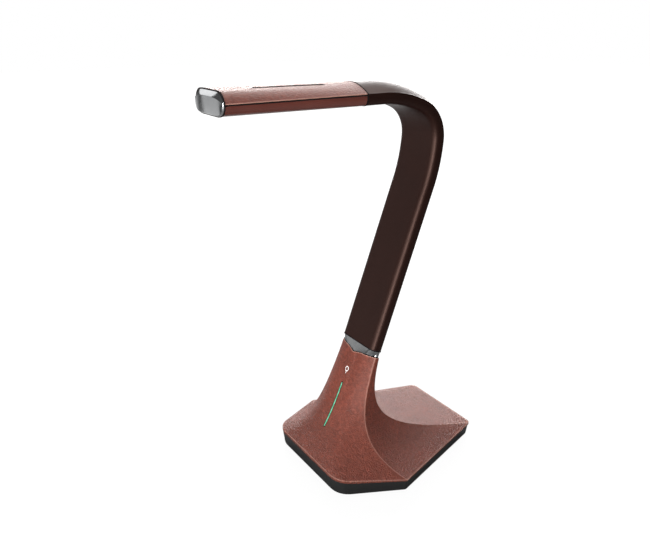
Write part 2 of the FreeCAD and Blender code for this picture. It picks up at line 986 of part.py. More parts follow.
def head_housing():
    outer = head_outside()
    shape = outer.cut(head_inside(head_wall))
    shape = shape.cut(box(-far, far, -far, far, edge_z() - groove_below, 2 * far))
    shape = shape.cut(light_window(0, 0, far))
    shape = shape.cut(light_window(diffuser_ledge + ledge_clearance, head_floor(), far))
    pads = [upright(p, 2.6, head_bottom() + 0.5, head_floor() + 2.0) for p in head_screw_places()]
    shape = fuse([shape] + [pad.common(outer) for pad in pads])
    holes = [upright(p, small_screw_radius, 0, far) for p in head_screw_places()]
    sinks = [upright(p, small_screw_head + 0.2, 0, head_bottom() + 1.3) for p in head_screw_places()]
    return shape.cut(fuse(holes + sinks))


def head_screw_places():
    # Two on the flat of the housing at its end, and two outside the clamp at the seam.
    end_x = arm_half_width - head_corner_width + 0.6
    seam_x = arm_half_width - head_wall - 5.0
    places = [(end_x, head_end_y() + 3.4), (seam_x, seam_y() - 6.0)]
    return [Vector(side * x, y, 0) for x, y in places for side in (1, -1)]


def head_screws():
    solids = []
    for p in head_screw_places():
        seat = Vector(p.x, p.y, head_bottom() + 1.3)
        solids.append(screw(seat, Vector(0, 0, 1), 6.0, small_screw_radius, small_screw_head, 1.0))
    return Part.makeCompound(solids)


def diffuser():
    plate = light_window(0, head_bottom(), head_floor()).common(head_outside())
    ledge = light_window(diffuser_ledge, head_floor(), light_floor())
    return plate.fuse(ledge).removeSplitter()


def light_floor():
    return head_bottom() + diffuser_thickness


def reflector_frame():
    # A white tray wall round the lamps, between the diffuser and the board.
    z0, z1 = light_floor(), light_floor() + light_cavity
    outer = light_window(diffuser_ledge, z0, z1)
    return outer.cut(light_window(-1.0, 0, far))


def board_bottom():
    return light_floor() + light_cavity


def led_board():
    return light_window(diffuser_ledge, board_bottom(), board_bottom() + board_thickness)


def led_lamps():
    # Two rows of square lamps under the board.
    lamps = []
    z0 = board_bottom() - led_height
    pitch = light_length / led_columns
    for row in range(led_rows):
        x = light_half_width * (row - (led_rows - 1) / 2) * 0.9
        for column in range(led_columns):
            y = light_start() + pitch * (column + 0.5)
            half = led_size / 2
            lamps.append(box(x - half, x + half, y - half, y + half, z0, board_bottom()))
    return Part.makeCompound(lamps)


def heat_spreader():
    z0 = board_bottom() + board_thickness
    half = lead_side - lead_width / 2 - 0.7
    y0 = light_start()
    return box(-half, half, y0, y0 + light_length, z0, z0 + spreader_thickness)


def clamp_screw_places():
    middle = seam_y() - 17.0
    return [Vector(-7.0, middle, 0), Vector(7.0, middle, 0)]


def clamp_screw_holes():
    return [upright(p, screw_radius, 0, far * 2) for p in clamp_screw_places()]


def head_clamp():
    # A block on the housing floor that carries the level end of the spine.
    y1 = seam_y() - 9.5
    y0 = seam_y() - 26.0
    block = box(-17.0, 17.0, y0, y1, head_floor(), edge_z() - pin_depth - link_half_thickness)
    return block.cut(fuse([upright(p, screw_radius, 0, far * 2) for p in clamp_screw_places()]))


def clamp_screws():
    seat_height = edge_z() - pin_depth + link_half_thickness
    solids = []
    for p in clamp_screw_places():
        seat = Vector(p.x, p.y, seat_height)
        solids.append(screw(seat, Vector(0, 0, -1), 9.0, screw_radius, screw_head_radius, screw_head_height))
    return Part.makeCompound(solids)


def cap_front(x):
    # How far the prow stands out, most in the middle and falling off to its corners.
    share = abs(x) / arm_half_width
    return head_end_y() - cap_reach + (cap_reach - cap_corner_reach) * share ** cap_front_power


def cap_blank():
    # The prow in plan, drawn out upwards, with its two upright corners rounded.
    side, low, steps = arm_half_width, head_bottom() - 5, 12
    points = [Vector(x, cap_front(x), low) for x in (side * (2 * k / steps - 1) for k in range(steps + 1))]
    front = Part.BSplineCurve()
    front.interpolate(points)
    back = [Vector(side, head_end_y(), low), Vector(-side, head_end_y(), low)]
    lines = [Part.makeLine(a, b) for a, b in ((points[-1], back[0]), back, (back[1], points[0]))]
    blank = Part.Face(Part.Wire([front.toShape()] + lines)).extrude(Vector(0, 0, 40))
    corners = [edge for edge in blank.Edges if is_front_corner(edge)]
    return blank.makeFillet(cap_corner_radius, corners)


def is_front_corner(edge):
    start, end = edge.Vertexes[0].Point, edge.Vertexes[-1].Point
    upright_edge = abs(end.z - start.z) > 30
    return upright_edge and start.y < head_end_y() - sliver


def cross_curve(place):
    # A smooth curve across the whole width of the head, through place(x).
    reach, steps = arm_half_width + 2, 16
    curve = Part.BSplineCurve()
    curve.interpolate([place(reach * (2 * k / steps - 1)) for k in range(steps + 1)])
    return curve.toShape()


def above_cap():
    # The space above the cap's sloping top, which runs from the cover's arch down to the crease.
    def slope(x, share):
        side = min(abs(x) / arm_half_width, 1.0)
        arch = edge_z() + cover_end_crown * (1 - side ** cover_end_power) - 0.2
        crease = edge_z() + cover_end_crown - cap_crease_drop - cap_crease_curve * x * x
        y0, y1 = head_end_y(), cap_front(x)
        return Vector(x, y0 + (y1 - y0) * share, arch + (crease - arch) * share)

    behind = cross_curve(lambda x: slope(x, -0.5))
    ahead = cross_curve(lambda x: slope(x, 1.5))
    return Part.makeRuledSurface(behind, ahead).extrude(Vector(0, 0, 60))


def end_cap():
    # The cap tapers towards its front, so the rounding of the housing stays in view behind it.
    y0 = head_end_y()
    wires = [channel_wire(y0, 0), channel_wire(y0 - cap_reach - 1, cap_taper)]
    return cap_blank().cut(above_cap()).common(Part.makeLoft(wires, True, True))


def build_all():
    nodes = {
        "base_tray": base_tray(),
        "base_pad": base_pad(),
        "ballast_plate": ballast_plate(),
        "base_cover": base_cover(),
        "base_leather": base_leather(),
        "base_screws": base_screws(),
        "neck_collar": neck_collar(),
        "neck_bracket": neck_bracket(),
        "bracket_screws": bracket_screws(),
        "dc_socket": dc_socket(),
        "socket_lead": socket_lead(),
        "control_board": control_board(),
        "board_screws": board_screws(),
        "touch_board": touch_board(),
        "strip_light_guide": strip_light_guide(),
        "touch_mark": touch_mark(),
        "spine_foot": spine_foot(),
        "spine_tip": spine_tip(),
        "arm_lead": arm_lead(),
        "head_housing": head_housing(),
        "head_cover": head_cover(),
        "head_leather": head_leather(),
        "slot_trim": slot_trim(),
        "end_cap": end_cap(),
        "diffuser": diffuser(),
        "reflector_frame": reflector_frame(),
        "led_board": led_board(),
        "led_lamps": led_lamps(),
        "heat_spreader": heat_spreader(),
        "head_screws": head_screws(),
        "head_clamp": head_clamp(),
        "clamp_screws": clamp_screws(),
    }
    hinges = hinge_distances()
    for index in range(len(hinges)):
        nodes[f"arm_sleeve_{index + 1}"] = sleeve_stretch(index)
        nodes[f"hinge_pin_{index + 1}"] = hinge_pin(index)
    for index in range(len(hinges) - 1):
        nodes[f"spine_link_{index + 1}"] = spine_link(index)
    return nodes


def main():
    os.makedirs("parts", exist_ok=True)
    for name, shape in build_all().items():
        shape.exportStep(f"parts/{name}.step")


if __name__ == "__main__":
    main()
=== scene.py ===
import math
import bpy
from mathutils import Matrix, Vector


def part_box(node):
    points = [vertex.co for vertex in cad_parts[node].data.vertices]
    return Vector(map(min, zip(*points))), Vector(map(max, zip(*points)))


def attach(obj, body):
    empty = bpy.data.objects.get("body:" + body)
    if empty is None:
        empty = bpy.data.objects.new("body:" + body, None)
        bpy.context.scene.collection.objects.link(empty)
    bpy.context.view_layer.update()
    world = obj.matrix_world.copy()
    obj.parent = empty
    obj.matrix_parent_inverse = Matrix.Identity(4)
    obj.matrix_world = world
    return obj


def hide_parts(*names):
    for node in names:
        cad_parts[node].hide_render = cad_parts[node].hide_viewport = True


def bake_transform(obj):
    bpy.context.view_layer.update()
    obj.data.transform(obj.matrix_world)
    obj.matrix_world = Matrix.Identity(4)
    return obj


bl_info = {
    "name": "Flexible desk lamp",
    "version": (1, 0, 0),
    "blender": (4, 5, 0),
    "location": "3D View > Sidebar > Desk lamp",
    "description": "Dresses the packed desk lamp with leather, silicone, metal and its small pieces",
    "category": "Object",
}

from contextlib import contextmanager

import bmesh
import bpy
from bpy.props import FloatProperty, FloatVectorProperty, PointerProperty
from bpy.types import Operator, Panel, PropertyGroup
from mathutils import Matrix, Vector
from mathutils.bvhtree import BVHTree

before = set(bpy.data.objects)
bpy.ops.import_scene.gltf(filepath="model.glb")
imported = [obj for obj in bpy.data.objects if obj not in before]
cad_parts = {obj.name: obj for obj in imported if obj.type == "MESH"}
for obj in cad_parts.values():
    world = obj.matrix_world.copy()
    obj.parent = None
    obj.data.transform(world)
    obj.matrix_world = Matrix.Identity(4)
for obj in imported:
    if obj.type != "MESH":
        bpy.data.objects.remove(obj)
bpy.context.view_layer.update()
BODIES = ["base"] + [f"link_{i}" for i in range(1, 8)] + ["head"]

# Fixed measures, as in the CAD source, in metres and radians

NECK_LEAN = math.tan(math.radians(20.0))
FRONT_LEAN = 0.40
NECK_WIDEST_Y, NECK_REAR_Y, NECK_FRONT_Y = -0.0294, -0.0240, -0.0351
NECK_FRONT_HALF = 0.016
TOP_SIDE_CUT, TOP_REAR_CUT, TOP_FRONT_CUT = 0.0032, 0.0005, 0.0095
REAR_BOW, FRONT_BOW = 0.0065, 0.001
COVER_COUNTS = ([30, 36, 30, 16, 22, 16], [6, 6, 6, 10, 10, 6])

ARM_FOOT = (-0.0215, 0.1298, math.radians(70.0))
LOW_TURN, MAIN_TURN = math.radians(16.5), math.radians(70.0)
LAST_TURN = math.radians(110.0 - 16.5 - 70.0)
ARM_RUNS = (
    (0.174, None),
    (0.165 * LOW_TURN, 0.165),
    (0.0405 * MAIN_TURN, 0.0405),
    (0.123 * LAST_TURN, 0.123),
    (0.0203, None),
)
ARM_LENGTH = sum(run for run, radius in ARM_RUNS)
HINGES = [0.040, 0.092, 0.144] + [0.190 + 0.02875 * k for k in range(5)]
MARKS = [0.0] + [(a + b) / 2 for a, b in zip(HINGES, HINGES[1:])] + [ARM_LENGTH]
BEND_MARGIN = 0.005
SECTION_SIDE_CUT = 0.0004

SPINE_AWAY = -0.0026
LEAD_ACROSS, LEAD_LOBE = 0.0159, 0.0009
LEAD_HALF_WIDTH, LEAD_HALF_HEIGHT = 0.0008, 0.00075
LEAD_FOOT, LEAD_BEND_AWAY = -0.1, 0.012
LEAD_IN_HEAD = 0.034

# The stage, where PHOTO_WAY points from the camera's side to behind the lamp

PHOTO_WAY = (-0.8, 0.6, 0.0)
MIDDLE, ARM, CAP = (0.0, -0.03, 0.2), (0.0, -0.02, 0.24), (0.0, -0.18, 0.385)
LIGHTS = (
    # name, place, target, size, power in watts
    ("overhead_soft", (-0.2, 0.3, 1.6), MIDDLE, (1.2, 1.2), 17.0),
    ("back_soft", (-1.35, 0.95, 0.62), MIDDLE, (1.5, 0.8), 50.0),
    ("key_soft", (0.78, -1.2, 0.45), ARM, (0.85, 0.9), 26.0),
    ("key_spill", (0.12, -1.38, 0.25), ARM, (0.5, 0.9), 3.0),
    ("collar_card", (-0.25, -1.25, 0.12), (0.0, -0.03, 0.14), (0.4, 0.4), 1.6),
    ("cap_front_card", (-0.985, -0.772, 0.24), CAP, (0.55, 0.5), 0.46),
    ("cap_top_card", (-1.0, -0.42, 0.78), CAP, (0.5, 0.4), 0.75),
)
FLOOR_HALF = 6.0


# Sizes and colours a user may change

def length(name, description, default):
    return FloatProperty(
        name=name, description=description, default=default, unit="LENGTH", precision=5
    )


def colour(name, description, default):
    return FloatVectorProperty(
        name=name, description=description, default=default, subtype="COLOR", size=3, min=0, max=1
    )


class LampSizes(PropertyGroup):
    base_length: length("Base length", "Front edge to rear edge of the base", 0.1928)
    base_width: length("Base width", "Widest part of the base", 0.180)
    front_edge: length("Front edge", "Width of the base's front edge", 0.1174)
    rear_edge: length("Rear edge", "Width of the base's rear edge", 0.0998)
    widest_setback: length("Widest setback", "Front edge to the widest part", 0.065)
    front_cut: length("Front corner", "Rounding of the two front corners", 0.015)
    rear_cut: length("Rear corner", "Rounding of the two rear corners", 0.006)
    side_cut: length("Side corner", "Rounding of the two widest corners", 0.0016)
    band_front: length("Band at the front", "Height of the black band at the front", 0.0163)
    band_rear: length("Band at the rear", "Height of the black band at side and rear", 0.0128)
    lip_front: length("Front lip", "Upright leather over the band at the front", 0.003)
    lip_rear: length("Rear lip", "Upright leather over the band at side and rear", 0.0014)
    leather: length("Leather", "Thickness of the leather", 0.001)
    flare_decay: length("Flare", "Height over which the flare falls off", 0.0294)
    neck_top: length("Neck top", "Height of the neck's top edge", 0.1254)
    neck_half: length("Neck half width", "Half the neck's width at its top", 0.0288)
    notch_half: length("Notch half width", "Half the width of the neck's notch", 0.018)
    notch_depth: length("Notch depth", "Depth of the notch in the neck's top edge", 0.0054)
    arm_half: length("Arm half width", "Half the arm's width", 0.0274)
    arm_depth: length("Arm depth", "Rear side edge to the arm's flat front", 0.011)
    arm_crown: length("Arm crown", "Height of the arm's rounded rear", 0.0086)
    arm_corner: length("Arm corner", "Rounding of the arm's front corners", 0.0070)
    sleeve_wall: length("Sleeve wall", "Thickness of the silicone sleeve", 0.0022)
    head_length: length("Head length", "Seam to the head's end", 0.1364)
    head_round_width: length("Rounding width", "Rounding under the head's end", 0.014)
    head_round_height: length("Rounding height", "Rounding under the head's end", 0.0106)
    end_crown: length("End crown", "Height of the head's leather over its edge", 0.0092)
    groove_above: length("Groove", "Head's path line to the leather's lower edge", 0.0003)
    slot_start: length("Slot start", "Seam to the slot in the leather", 0.0319)
    slot_length: length("Slot length", "Length of the slot in the leather", 0.0725)
    slot_width: length("Slot width", "Width of the slot in the leather", 0.002)
    slot_side: length("Slot side", "Middle of the head to the middle of the slot", 0.0083)
    trim_proud: length("Inlay height", "Height of the slot's inlay over the leather", 0.0003)
    touch_height: length("Touch sign height", "Height of the touch sign's middle", 0.1044)
    sign_radius: length("Touch sign radius", "Outer radius of the touch sign's ring", 0.0027)
    sign_line: length("Touch sign line", "Width of the touch sign's lines", 0.0009)
    sign_stem: length("Touch sign stem", "Length of the stem below the ring", 0.002)
    strip_low: length("Strip low end", "Height of the light strip's low end", 0.0438)
    strip_high: length("Strip high end", "Height of the light strip's high end", 0.0899)


class LampColours(PropertyGroup):
    leather: colour("Leather", "Main brown of the leather", (0.226, 0.050, 0.030))
    # Also the colour of the painted shade in the grain's hollows and wrinkle valleys.
    leather_dark: colour("Leather, dark", "Brown of the leather's hollows", (0.112, 0.024, 0.014))
    # Colour of the painted highlight along the leather's edges and creases.
    leather_edge_highlight: colour("Leather, edge", "Worn brown of edges and creases", (0.60, 0.32, 0.25))
    sleeve: colour("Sleeve", "Dark brown of the silicone sleeve", (0.0085, 0.0022, 0.0016))
    housing: colour("Housing", "Brown of the head's lower housing", (0.105, 0.026, 0.018))
    band: colour("Band", "Black of the base's band", (0.0065, 0.0065, 0.0065))
    # The collar takes this silver darkened, as painted shade.
    silver: colour("Silver", "Satin metal of collar and end cap", (0.56, 0.57, 0.58))
    strip: colour("Strip", "Teal of the light strip", (0.055, 0.32, 0.18))
    sign: colour("Sign", "White of the touch sign", (0.95, 0.93, 0.90))
    floor: colour("Floor", "Grey of the stage's floor under the white", (0.18, 0.18, 0.18))


class LampStage(PropertyGroup):
    lens: FloatProperty(name="Lens", description="Focal length of the camera", default=36.55)
    yaw: FloatProperty(name="Yaw", description="Camera's turn about the upright", default=56.68)
    pitch: FloatProperty(name="Pitch", description="Camera's tilt downwards", default=21.35)
    place: FloatVectorProperty(
        name="Place", description="Where the camera stands", subtype="TRANSLATION",
        default=(0.50212, -0.40255, 0.45139), precision=5,
    )


# Shader arithmetic

class Wire:
    """A shader socket that takes part in Python arithmetic."""

    def __init__(self, paint, socket):
        self.paint = paint
        self.socket = socket

    def _join(self, operation, first, second):
        kinds = [w.socket.type for w in (first, second) if isinstance(w, Wire)]
        if "RGBA" in kinds:
            return self.paint.mix(1.0, first, second, operation)
        kind = "ShaderNodeVectorMath" if "VECTOR" in kinds else "ShaderNodeMath"
        return self.paint.node(kind, {0: first, 1: second}, operation=operation)

    def __add__(self, other):
        return self._join("ADD", self, other)

    def __radd__(self, other):
        return self._join("ADD", other, self)

    def __sub__(self, other):
        return self._join("SUBTRACT", self, other)

    def __rsub__(self, other):
        return self._join("SUBTRACT", other, self)

    def __mul__(self, other):
        return self._join("MULTIPLY", self, other)

    def __rmul__(self, other):
        return self._join("MULTIPLY", other, self)

    def clamp(self):
        return self.paint.node("ShaderNodeClamp", {"Value": self})

    def between(self, low, high, start=0.0, end=1.0):
        inputs = {"Value": self, "From Min": low, "From Max": high, "To Min": start, "To Max": end}
        return self.paint.node("ShaderNodeMapRange", inputs)

    def toward(self, way):
        return self.paint.node(
            "ShaderNodeVectorMath", {0: self, 1: way}, 1, operation="DOT_PRODUCT"
        )


class Paint:
    """The nodes of a new material or world, added one by one."""

    def __init__(self, owner):
        owner.use_nodes = True
        self.owner = owner
        self.tree = owner.node_tree
        self.tree.nodes.clear()

    def _set(self, socket, value):
        if isinstance(value, Wire):
            self.tree.links.new(value.socket, socket)
        elif socket.type == "RGBA":
            tone = (value, value, value) if isinstance(value, (int, float)) else tuple(value)[:3]
            socket.default_value = (*tone, 1.0)
        else:
            socket.default_value = value

    def node(self, kind, inputs=None, output=0, **settings):
        """Adds a node, makes its settings, and gives its sockets their values or links."""
        node = self.tree.nodes.new(kind)
        for key, value in settings.items():
            setattr(node, key, value)
        for key, value in (inputs or {}).items():
            self._set(node.inputs[key], value)
        return Wire(self, node.outputs[output]) if len(node.outputs) else None

    def mix(self, factor, first, second, blend="MIX"):
        inputs = {0: factor, 6: first, 7: second}
        return self.node("ShaderNodeMix", inputs, 2, data_type="RGBA", blend_type=blend)

    def place(self, stretch=(1.0, 1.0, 1.0)):
        where = self.node("ShaderNodeTexCoord", output=3)
        return self.node("ShaderNodeMapping", {"Vector": where, "Scale": stretch})

    def noise(self, where, scale, detail=3.0, roughness=0.5, distortion=0.0):
        return self.node("ShaderNodeTexNoise", {
            "Vector": where, "Scale": scale, "Detail": detail, "Roughness": roughness,
            "Distortion": distortion,
        })

    def cells(self, where, scale, feature="F1", randomness=1.0):
        inputs = {"Vector": where, "Scale": scale, "Randomness": randomness}
        return self.node("ShaderNodeTexVoronoi", inputs, feature=feature)

    def bump(self, height, distance, strength=1.0):
        inputs = {"Height": height, "Distance": distance, "Strength": strength}
        return self.node("ShaderNodeBump", inputs)

    def attribute(self, name):
        return self.node("ShaderNodeAttribute", output=2, attribute_name=name)

    def ray(self, kind):
        return self.node("ShaderNodeLightPath", output=kind)

    def principled(self, **sockets):
        inputs = {name.replace("_", " "): value for name, value in sockets.items()}
        return self.node("ShaderNodeBsdfPrincipled", inputs)

    def show(self, shader, end="ShaderNodeOutputMaterial"):
        self.node(end, {"Surface": shader})
        return self.owner

    def finish(self, **sockets):
        return self.show(self.principled(**sockets))


def new_paint(name):
    return Paint(bpy.data.materials.new(name))


def shaded(tone, factor, lift=0.0):
    return tuple(min(1.0, factor * c + lift) for c in tone)


def leather_paint(name, tones, grain, pull, depth, bloom=0.04):
    """Grained leather: pebbles, longer pull wrinkles, cloudy colour, painted shade in the hollows
    and a painted highlight along edges and creases.
    """
    paint = new_paint(name)
    where = paint.place()
    wander = paint.noise(where, 300.0, 2.0) * (0.6 * grain)
    pebble = paint.cells(where + wander, 1.0 / grain, "DISTANCE_TO_EDGE").between(0.0, 0.30)
    fine = paint.noise(where, 2400.0, 3.0, 0.6)
    wrinkle = paint.noise(paint.place(pull), 1.0, 4.0, 0.6, 0.8)
    ridge = wrinkle.between(0.36, 0.64)
    cloud = paint.noise(where, 24.0, 4.0, 0.6)
    calm = paint.attribute("calm")
    crease_highlight = paint.attribute("crease_highlight")
    height = (pebble * 0.45 + ridge * 0.75 + fine * 0.14) * (1.0 - calm * 0.75)
    # Painted shade: wrinkle ridges lighten the cloudy tone, and the pebbles' hollows and the valleys
    # between ridges are darkened.
    shade = (cloud * 0.65 + ridge * 0.35).between(0.28, 0.72)
    body = paint.mix(shade, tones.leather_dark, tones.leather)
    hollow = (1.0 - pebble) * (1.0 - calm * 0.7)
    body = paint.mix(hollow * 0.55, body, tones.leather_dark)
    body = paint.mix((1.0 - ridge) * 0.22, body, tones.leather_dark)
    # Painted highlight: a lighter colour along the edges, the lip and the long creases.
    body = paint.mix(crease_highlight * crease_highlight * 0.85, body, tones.leather_edge_highlight)
    rough = 0.42 + fine * 0.10 + hollow * 0.14 - crease_highlight * 0.06
    return paint.finish(
        Base_Color=body, Roughness=rough, Normal=paint.bump(height, depth, 0.9),
        Specular_IOR_Level=0.5, Specular_Tint=(1.0, 0.84, 0.78),
        Sheen_Weight=bloom, Sheen_Roughness=0.45, Sheen_Tint=(0.95, 0.80, 0.76),
    )


def silicone_paint(tones):
    """Soft satin silicone with a very fine skin, faint handling marks and a little dust."""
    paint = new_paint("silicone_sleeve")
    where = paint.place()
    skin = paint.noise(where, 3000.0, 2.0)
    marks = paint.noise(paint.place((60.0, 25.0, 25.0)), 1.0, 5.0, 0.6, 0.3)
    dust = paint.noise(where, 900.0, 2.0).between(0.62, 0.75)
    body = paint.mix(marks.between(0.3, 0.75), tones.sleeve, shaded(tones.sleeve, 1.35))
    body = paint.mix(dust * 0.06, body, (0.16, 0.11, 0.10))
    return paint.finish(
        Base_Color=body, Roughness=0.42 + marks * 0.10, Normal=paint.bump(skin, 0.00003, 0.5),
        Specular_IOR_Level=0.44, Specular_Tint=(1.0, 0.62, 0.52),
    )


def metal_paint(name, tone, rough, brushed):
    """Satin metal with fine drawn lines and slight smudges."""
    paint = new_paint(name)
    lines = paint.noise(paint.place(brushed), 1.0, 3.0, 0.7)
    smudge = paint.noise(paint.place(), 60.0, 3.0, 0.6)
    body = paint.mix(smudge.between(0.35, 0.8), tone, shaded(tone, 0.88))
    spread = rough - 0.05 + lines * 0.08 + smudge.between(0.5, 0.8) * 0.06
    return paint.finish(
        Base_Color=body, Metallic=1.0, Roughness=spread, Normal=paint.bump(lines, 0.00001, 0.5)
    )


def moulded_paint(name, tone, rough, grain, coat=0.0, shine=0.5):
    """Moulded plastic or rubber: spark-eroded skin, slight colour drift and a few scuffs."""
    paint = new_paint(name)
    where = paint.place()
    skin = paint.noise(where, 1.0 / grain, 3.0, 0.6)
    drift = paint.noise(where, 30.0, 4.0, 0.6)
    scratches = paint.noise(paint.place((40.0, 400.0, 400.0)), 1.0, 5.0, 0.7)
    scuff = scratches.between(0.66, 0.74)
    body = paint.mix(drift.between(0.3, 0.8), tone, shaded(tone, 1.35, 0.004))
    body = paint.mix(scuff * 0.15, body, shaded(tone, 1.0, 0.08))
    return paint.finish(
        Base_Color=body, Roughness=rough + skin * 0.10 - scuff * 0.05,
        Normal=paint.bump(skin, 0.00004, 0.5), Coat_Weight=coat, Specular_IOR_Level=shine,
    )


def board_paint(name, tone, copper):
    """Circuit board: solder resist over fine copper runs."""
    paint = new_paint(name)
    grid = paint.cells(paint.place((1.0, 1.0, 0.2)), 420.0, "DISTANCE_TO_EDGE", 0.25)
    run = grid.between(0.04, 0.09, 1.0, 0.0)
    pad = paint.cells(paint.place(), 300.0).between(0.10, 0.16, 1.0, 0.0)
    body = paint.mix(run * 0.5, tone, shaded(tone, 1.7, 0.02))
    body = paint.mix(pad * 0.7, body, copper)
    return paint.finish(
        Base_Color=body, Roughness=0.35 + pad * 0.1, Normal=paint.bump(run, 0.00003)
    )


def iron_paint():
    """Rough cast iron with rust blooms."""
    paint = new_paint("cast_ballast")
    where = paint.place()
    cast = paint.noise(where, 500.0, 5.0, 0.7)
    rust = paint.noise(where, 45.0, 5.0, 0.7).between(0.58, 0.72)
    body = paint.mix(rust, (0.09, 0.09, 0.095), (0.17, 0.075, 0.035))
    return paint.finish(
        Base_Color=body, Metallic=0.3, Roughness=0.55 + cast * 0.3, Normal=paint.bump(cast, 0.0002)
    )


def opal_paint():
    """Opal diffuser with a field of tiny moulded dots."""
    paint = new_paint("opal_diffuser")
    dots = paint.cells(paint.place(), 520.0, "F1", 0.15).between(0.15, 0.5)
    cloud = paint.noise(paint.place(), 40.0, 3.0)
    body = paint.mix(cloud, (0.86, 0.87, 0.86), (0.94, 0.94, 0.92))
    return paint.finish(
        Base_Color=body, Roughness=0.42 + dots * 0.1, Normal=paint.bump(dots, 0.00008, 0.6),
        Subsurface_Weight=0.25, Subsurface_Radius=(0.004, 0.004, 0.004), Subsurface_Scale=1.0,
    )


def pad_paint():
    """Non-slip pad with a fine pattern of raised ovals."""
    paint = new_paint("pad_rubber")
    ovals = paint.cells(paint.place((1.0, 0.55, 1.0)), 480.0, "F1", 0.1).between(0.2, 0.45)
    wear_marks = paint.noise(paint.place(), 25.0, 4.0, 0.6)
    body = paint.mix(wear_marks, (0.020, 0.020, 0.020), (0.035, 0.034, 0.033))
    return paint.finish(
        Base_Color=body, Roughness=0.72 + ovals * 0.12, Normal=paint.bump(ovals, 0.0002, 0.8)
    )


def strip_paint(tones):
    """Lit light guide: teal with slightly brighter places over its lamps."""
    paint = new_paint("lit_strip")
    wave = {"Vector": paint.place(), "Scale": 34.0}
    beads = paint.node("ShaderNodeTexWave", wave, output=1, bands_direction="Z")
    spark = paint.noise(paint.place(), 700.0, 2.0)
    body = paint.mix(beads * 0.30 + spark * 0.15, tones.strip, (0.32, 0.66, 0.46))
    return paint.finish(
        Base_Color=body, Roughness=0.50 + spark * 0.1, Emission_Color=body,
        Emission_Strength=0.20, Specular_IOR_Level=0.2,
    )


def stage_paint(tone):
    """A grey floor that shows white to the camera, and pale in reflections where it is far."""
    paint = new_paint("stage_floor_white")
    where = paint.place()
    body = paint.mix(paint.noise(where, 3.0, 2.0) * 0.2, tone, shaded(tone, 0.9))
    grey = paint.principled(Base_Color=body, Roughness=0.7, Specular_IOR_Level=0.15)
    glow = paint.node("ShaderNodeEmission", {"Strength": 1.25})
    far_off = paint.node("ShaderNodeVectorMath", {0: where}, output=1, operation="LENGTH")
    bearing = paint.node("ShaderNodeVectorMath", {0: where}, operation="NORMALIZE")
    behind = bearing.toward(PHOTO_WAY).between(0.6, 0.9, 0.0, 0.8)
    before = bearing.toward((0.4, -0.92, 0.0)).between(0.8, 0.95, 0.0, 0.6)
    backdrop = (behind + before) * far_off.between(0.4, 1.2)
    seen = paint.ray("Is Camera Ray") * far_off.between(0.12, 0.6, 0.76, 0.92)
    share = seen + paint.ray("Is Glossy Ray") * backdrop
    return paint.show(paint.node("ShaderNodeMixShader", {0: share, 1: grey, 2: glow}))


def studio_world():
    """White to the camera, pale behind the lamp in reflections, and a weak even fill."""
    paint = Paint(bpy.data.worlds.new("studio"))
    way = paint.node("ShaderNodeTexCoord", output=0)
    aside = way.toward((-0.98, -0.20, 0.0)).between(0.88, 0.95, 1.0, 0.12)
    backdrop = way.toward(PHOTO_WAY).between(0.40, 0.85, 0.10, 1.0) * aside
    seen, mirrored = paint.ray("Is Camera Ray"), paint.ray("Is Glossy Ray")
    strength = seen + mirrored * backdrop + (1.0 - seen - mirrored).clamp() * 0.15
    light = paint.node("ShaderNodeBackground", {"Color": (1, 1, 1), "Strength": strength})
    return paint.show(light, "ShaderNodeOutputWorld")


# Mesh helpers

def shown(name, data):
    piece = bpy.data.objects.new(name, data)
    bpy.context.scene.collection.objects.link(piece)
    return piece


def from_grid(name, rows, closed=True, ring=False):
    """A skin over rows of points, closed round each row, or from the last row to the first."""
    count = len(rows[0])
    points = [p for row in rows for p in row]
    faces = []
    for j in range(len(rows) if ring else len(rows) - 1):
        above = ((j + 1) % len(rows)) * count
        for i in range(count if closed else count - 1):
            beside = (i + 1) % count
            faces.append((j * count + i, j * count + beside, above + beside, above + i))
    mesh = bpy.data.meshes.new(name)
    mesh.from_pydata(points, [], faces)
    mesh.update()
    return shown(name, mesh)


@contextmanager
def bmesh_of(piece):
    work = bmesh.new()
    work.from_mesh(piece.data)
    yield work
    work.to_mesh(piece.data)
    work.free()


def outward(piece):
    """Joins doubled points and turns all faces outwards."""
    with bmesh_of(piece) as work:
        bmesh.ops.remove_doubles(work, verts=work.verts, dist=1e-6)
        bmesh.ops.recalc_face_normals(work, faces=work.faces)
    return piece


def fill_ends(piece):
    with bmesh_of(piece) as work:
        edges = [e for e in work.edges if e.is_boundary]
        bmesh.ops.holes_fill(work, edges=edges, sides=0)
    return piece


def copy_of(node, name):
    """A fresh mesh with a CAD node's form, with its split edges joined."""
    piece = shown(name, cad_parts[node].data.copy())
    with bmesh_of(piece) as work:
        bmesh.ops.remove_doubles(work, verts=work.verts, dist=2e-6)
        flat = math.radians(0.6)
        bmesh.ops.dissolve_limit(work, angle_limit=flat, verts=work.verts, edges=work.edges)
    return piece


def modify(piece, kind, **values):
    """Adds a modifier and applies it."""
    modifier = piece.modifiers.new(kind.lower(), kind)
    for key, value in values.items():
        setattr(modifier, key, value)
    graph = bpy.context.evaluated_depsgraph_get()
    mesh = bpy.data.meshes.new_from_object(piece.evaluated_get(graph))
    piece.modifiers.clear()
    old = piece.data
    piece.data = mesh
    bpy.data.meshes.remove(old)


def bevel(piece, width, angle=50):
    sharp = math.radians(angle)
    modify(piece, "BEVEL", width=width, segments=2, limit_method="ANGLE", angle_limit=sharp)


def point_values(piece, name, values):
    piece.data.attributes.new(name, "FLOAT", "POINT").data.foreach_set("value", values)


def wear(piece, material):
    piece.data.materials.clear()
    piece.data.materials.append(material)


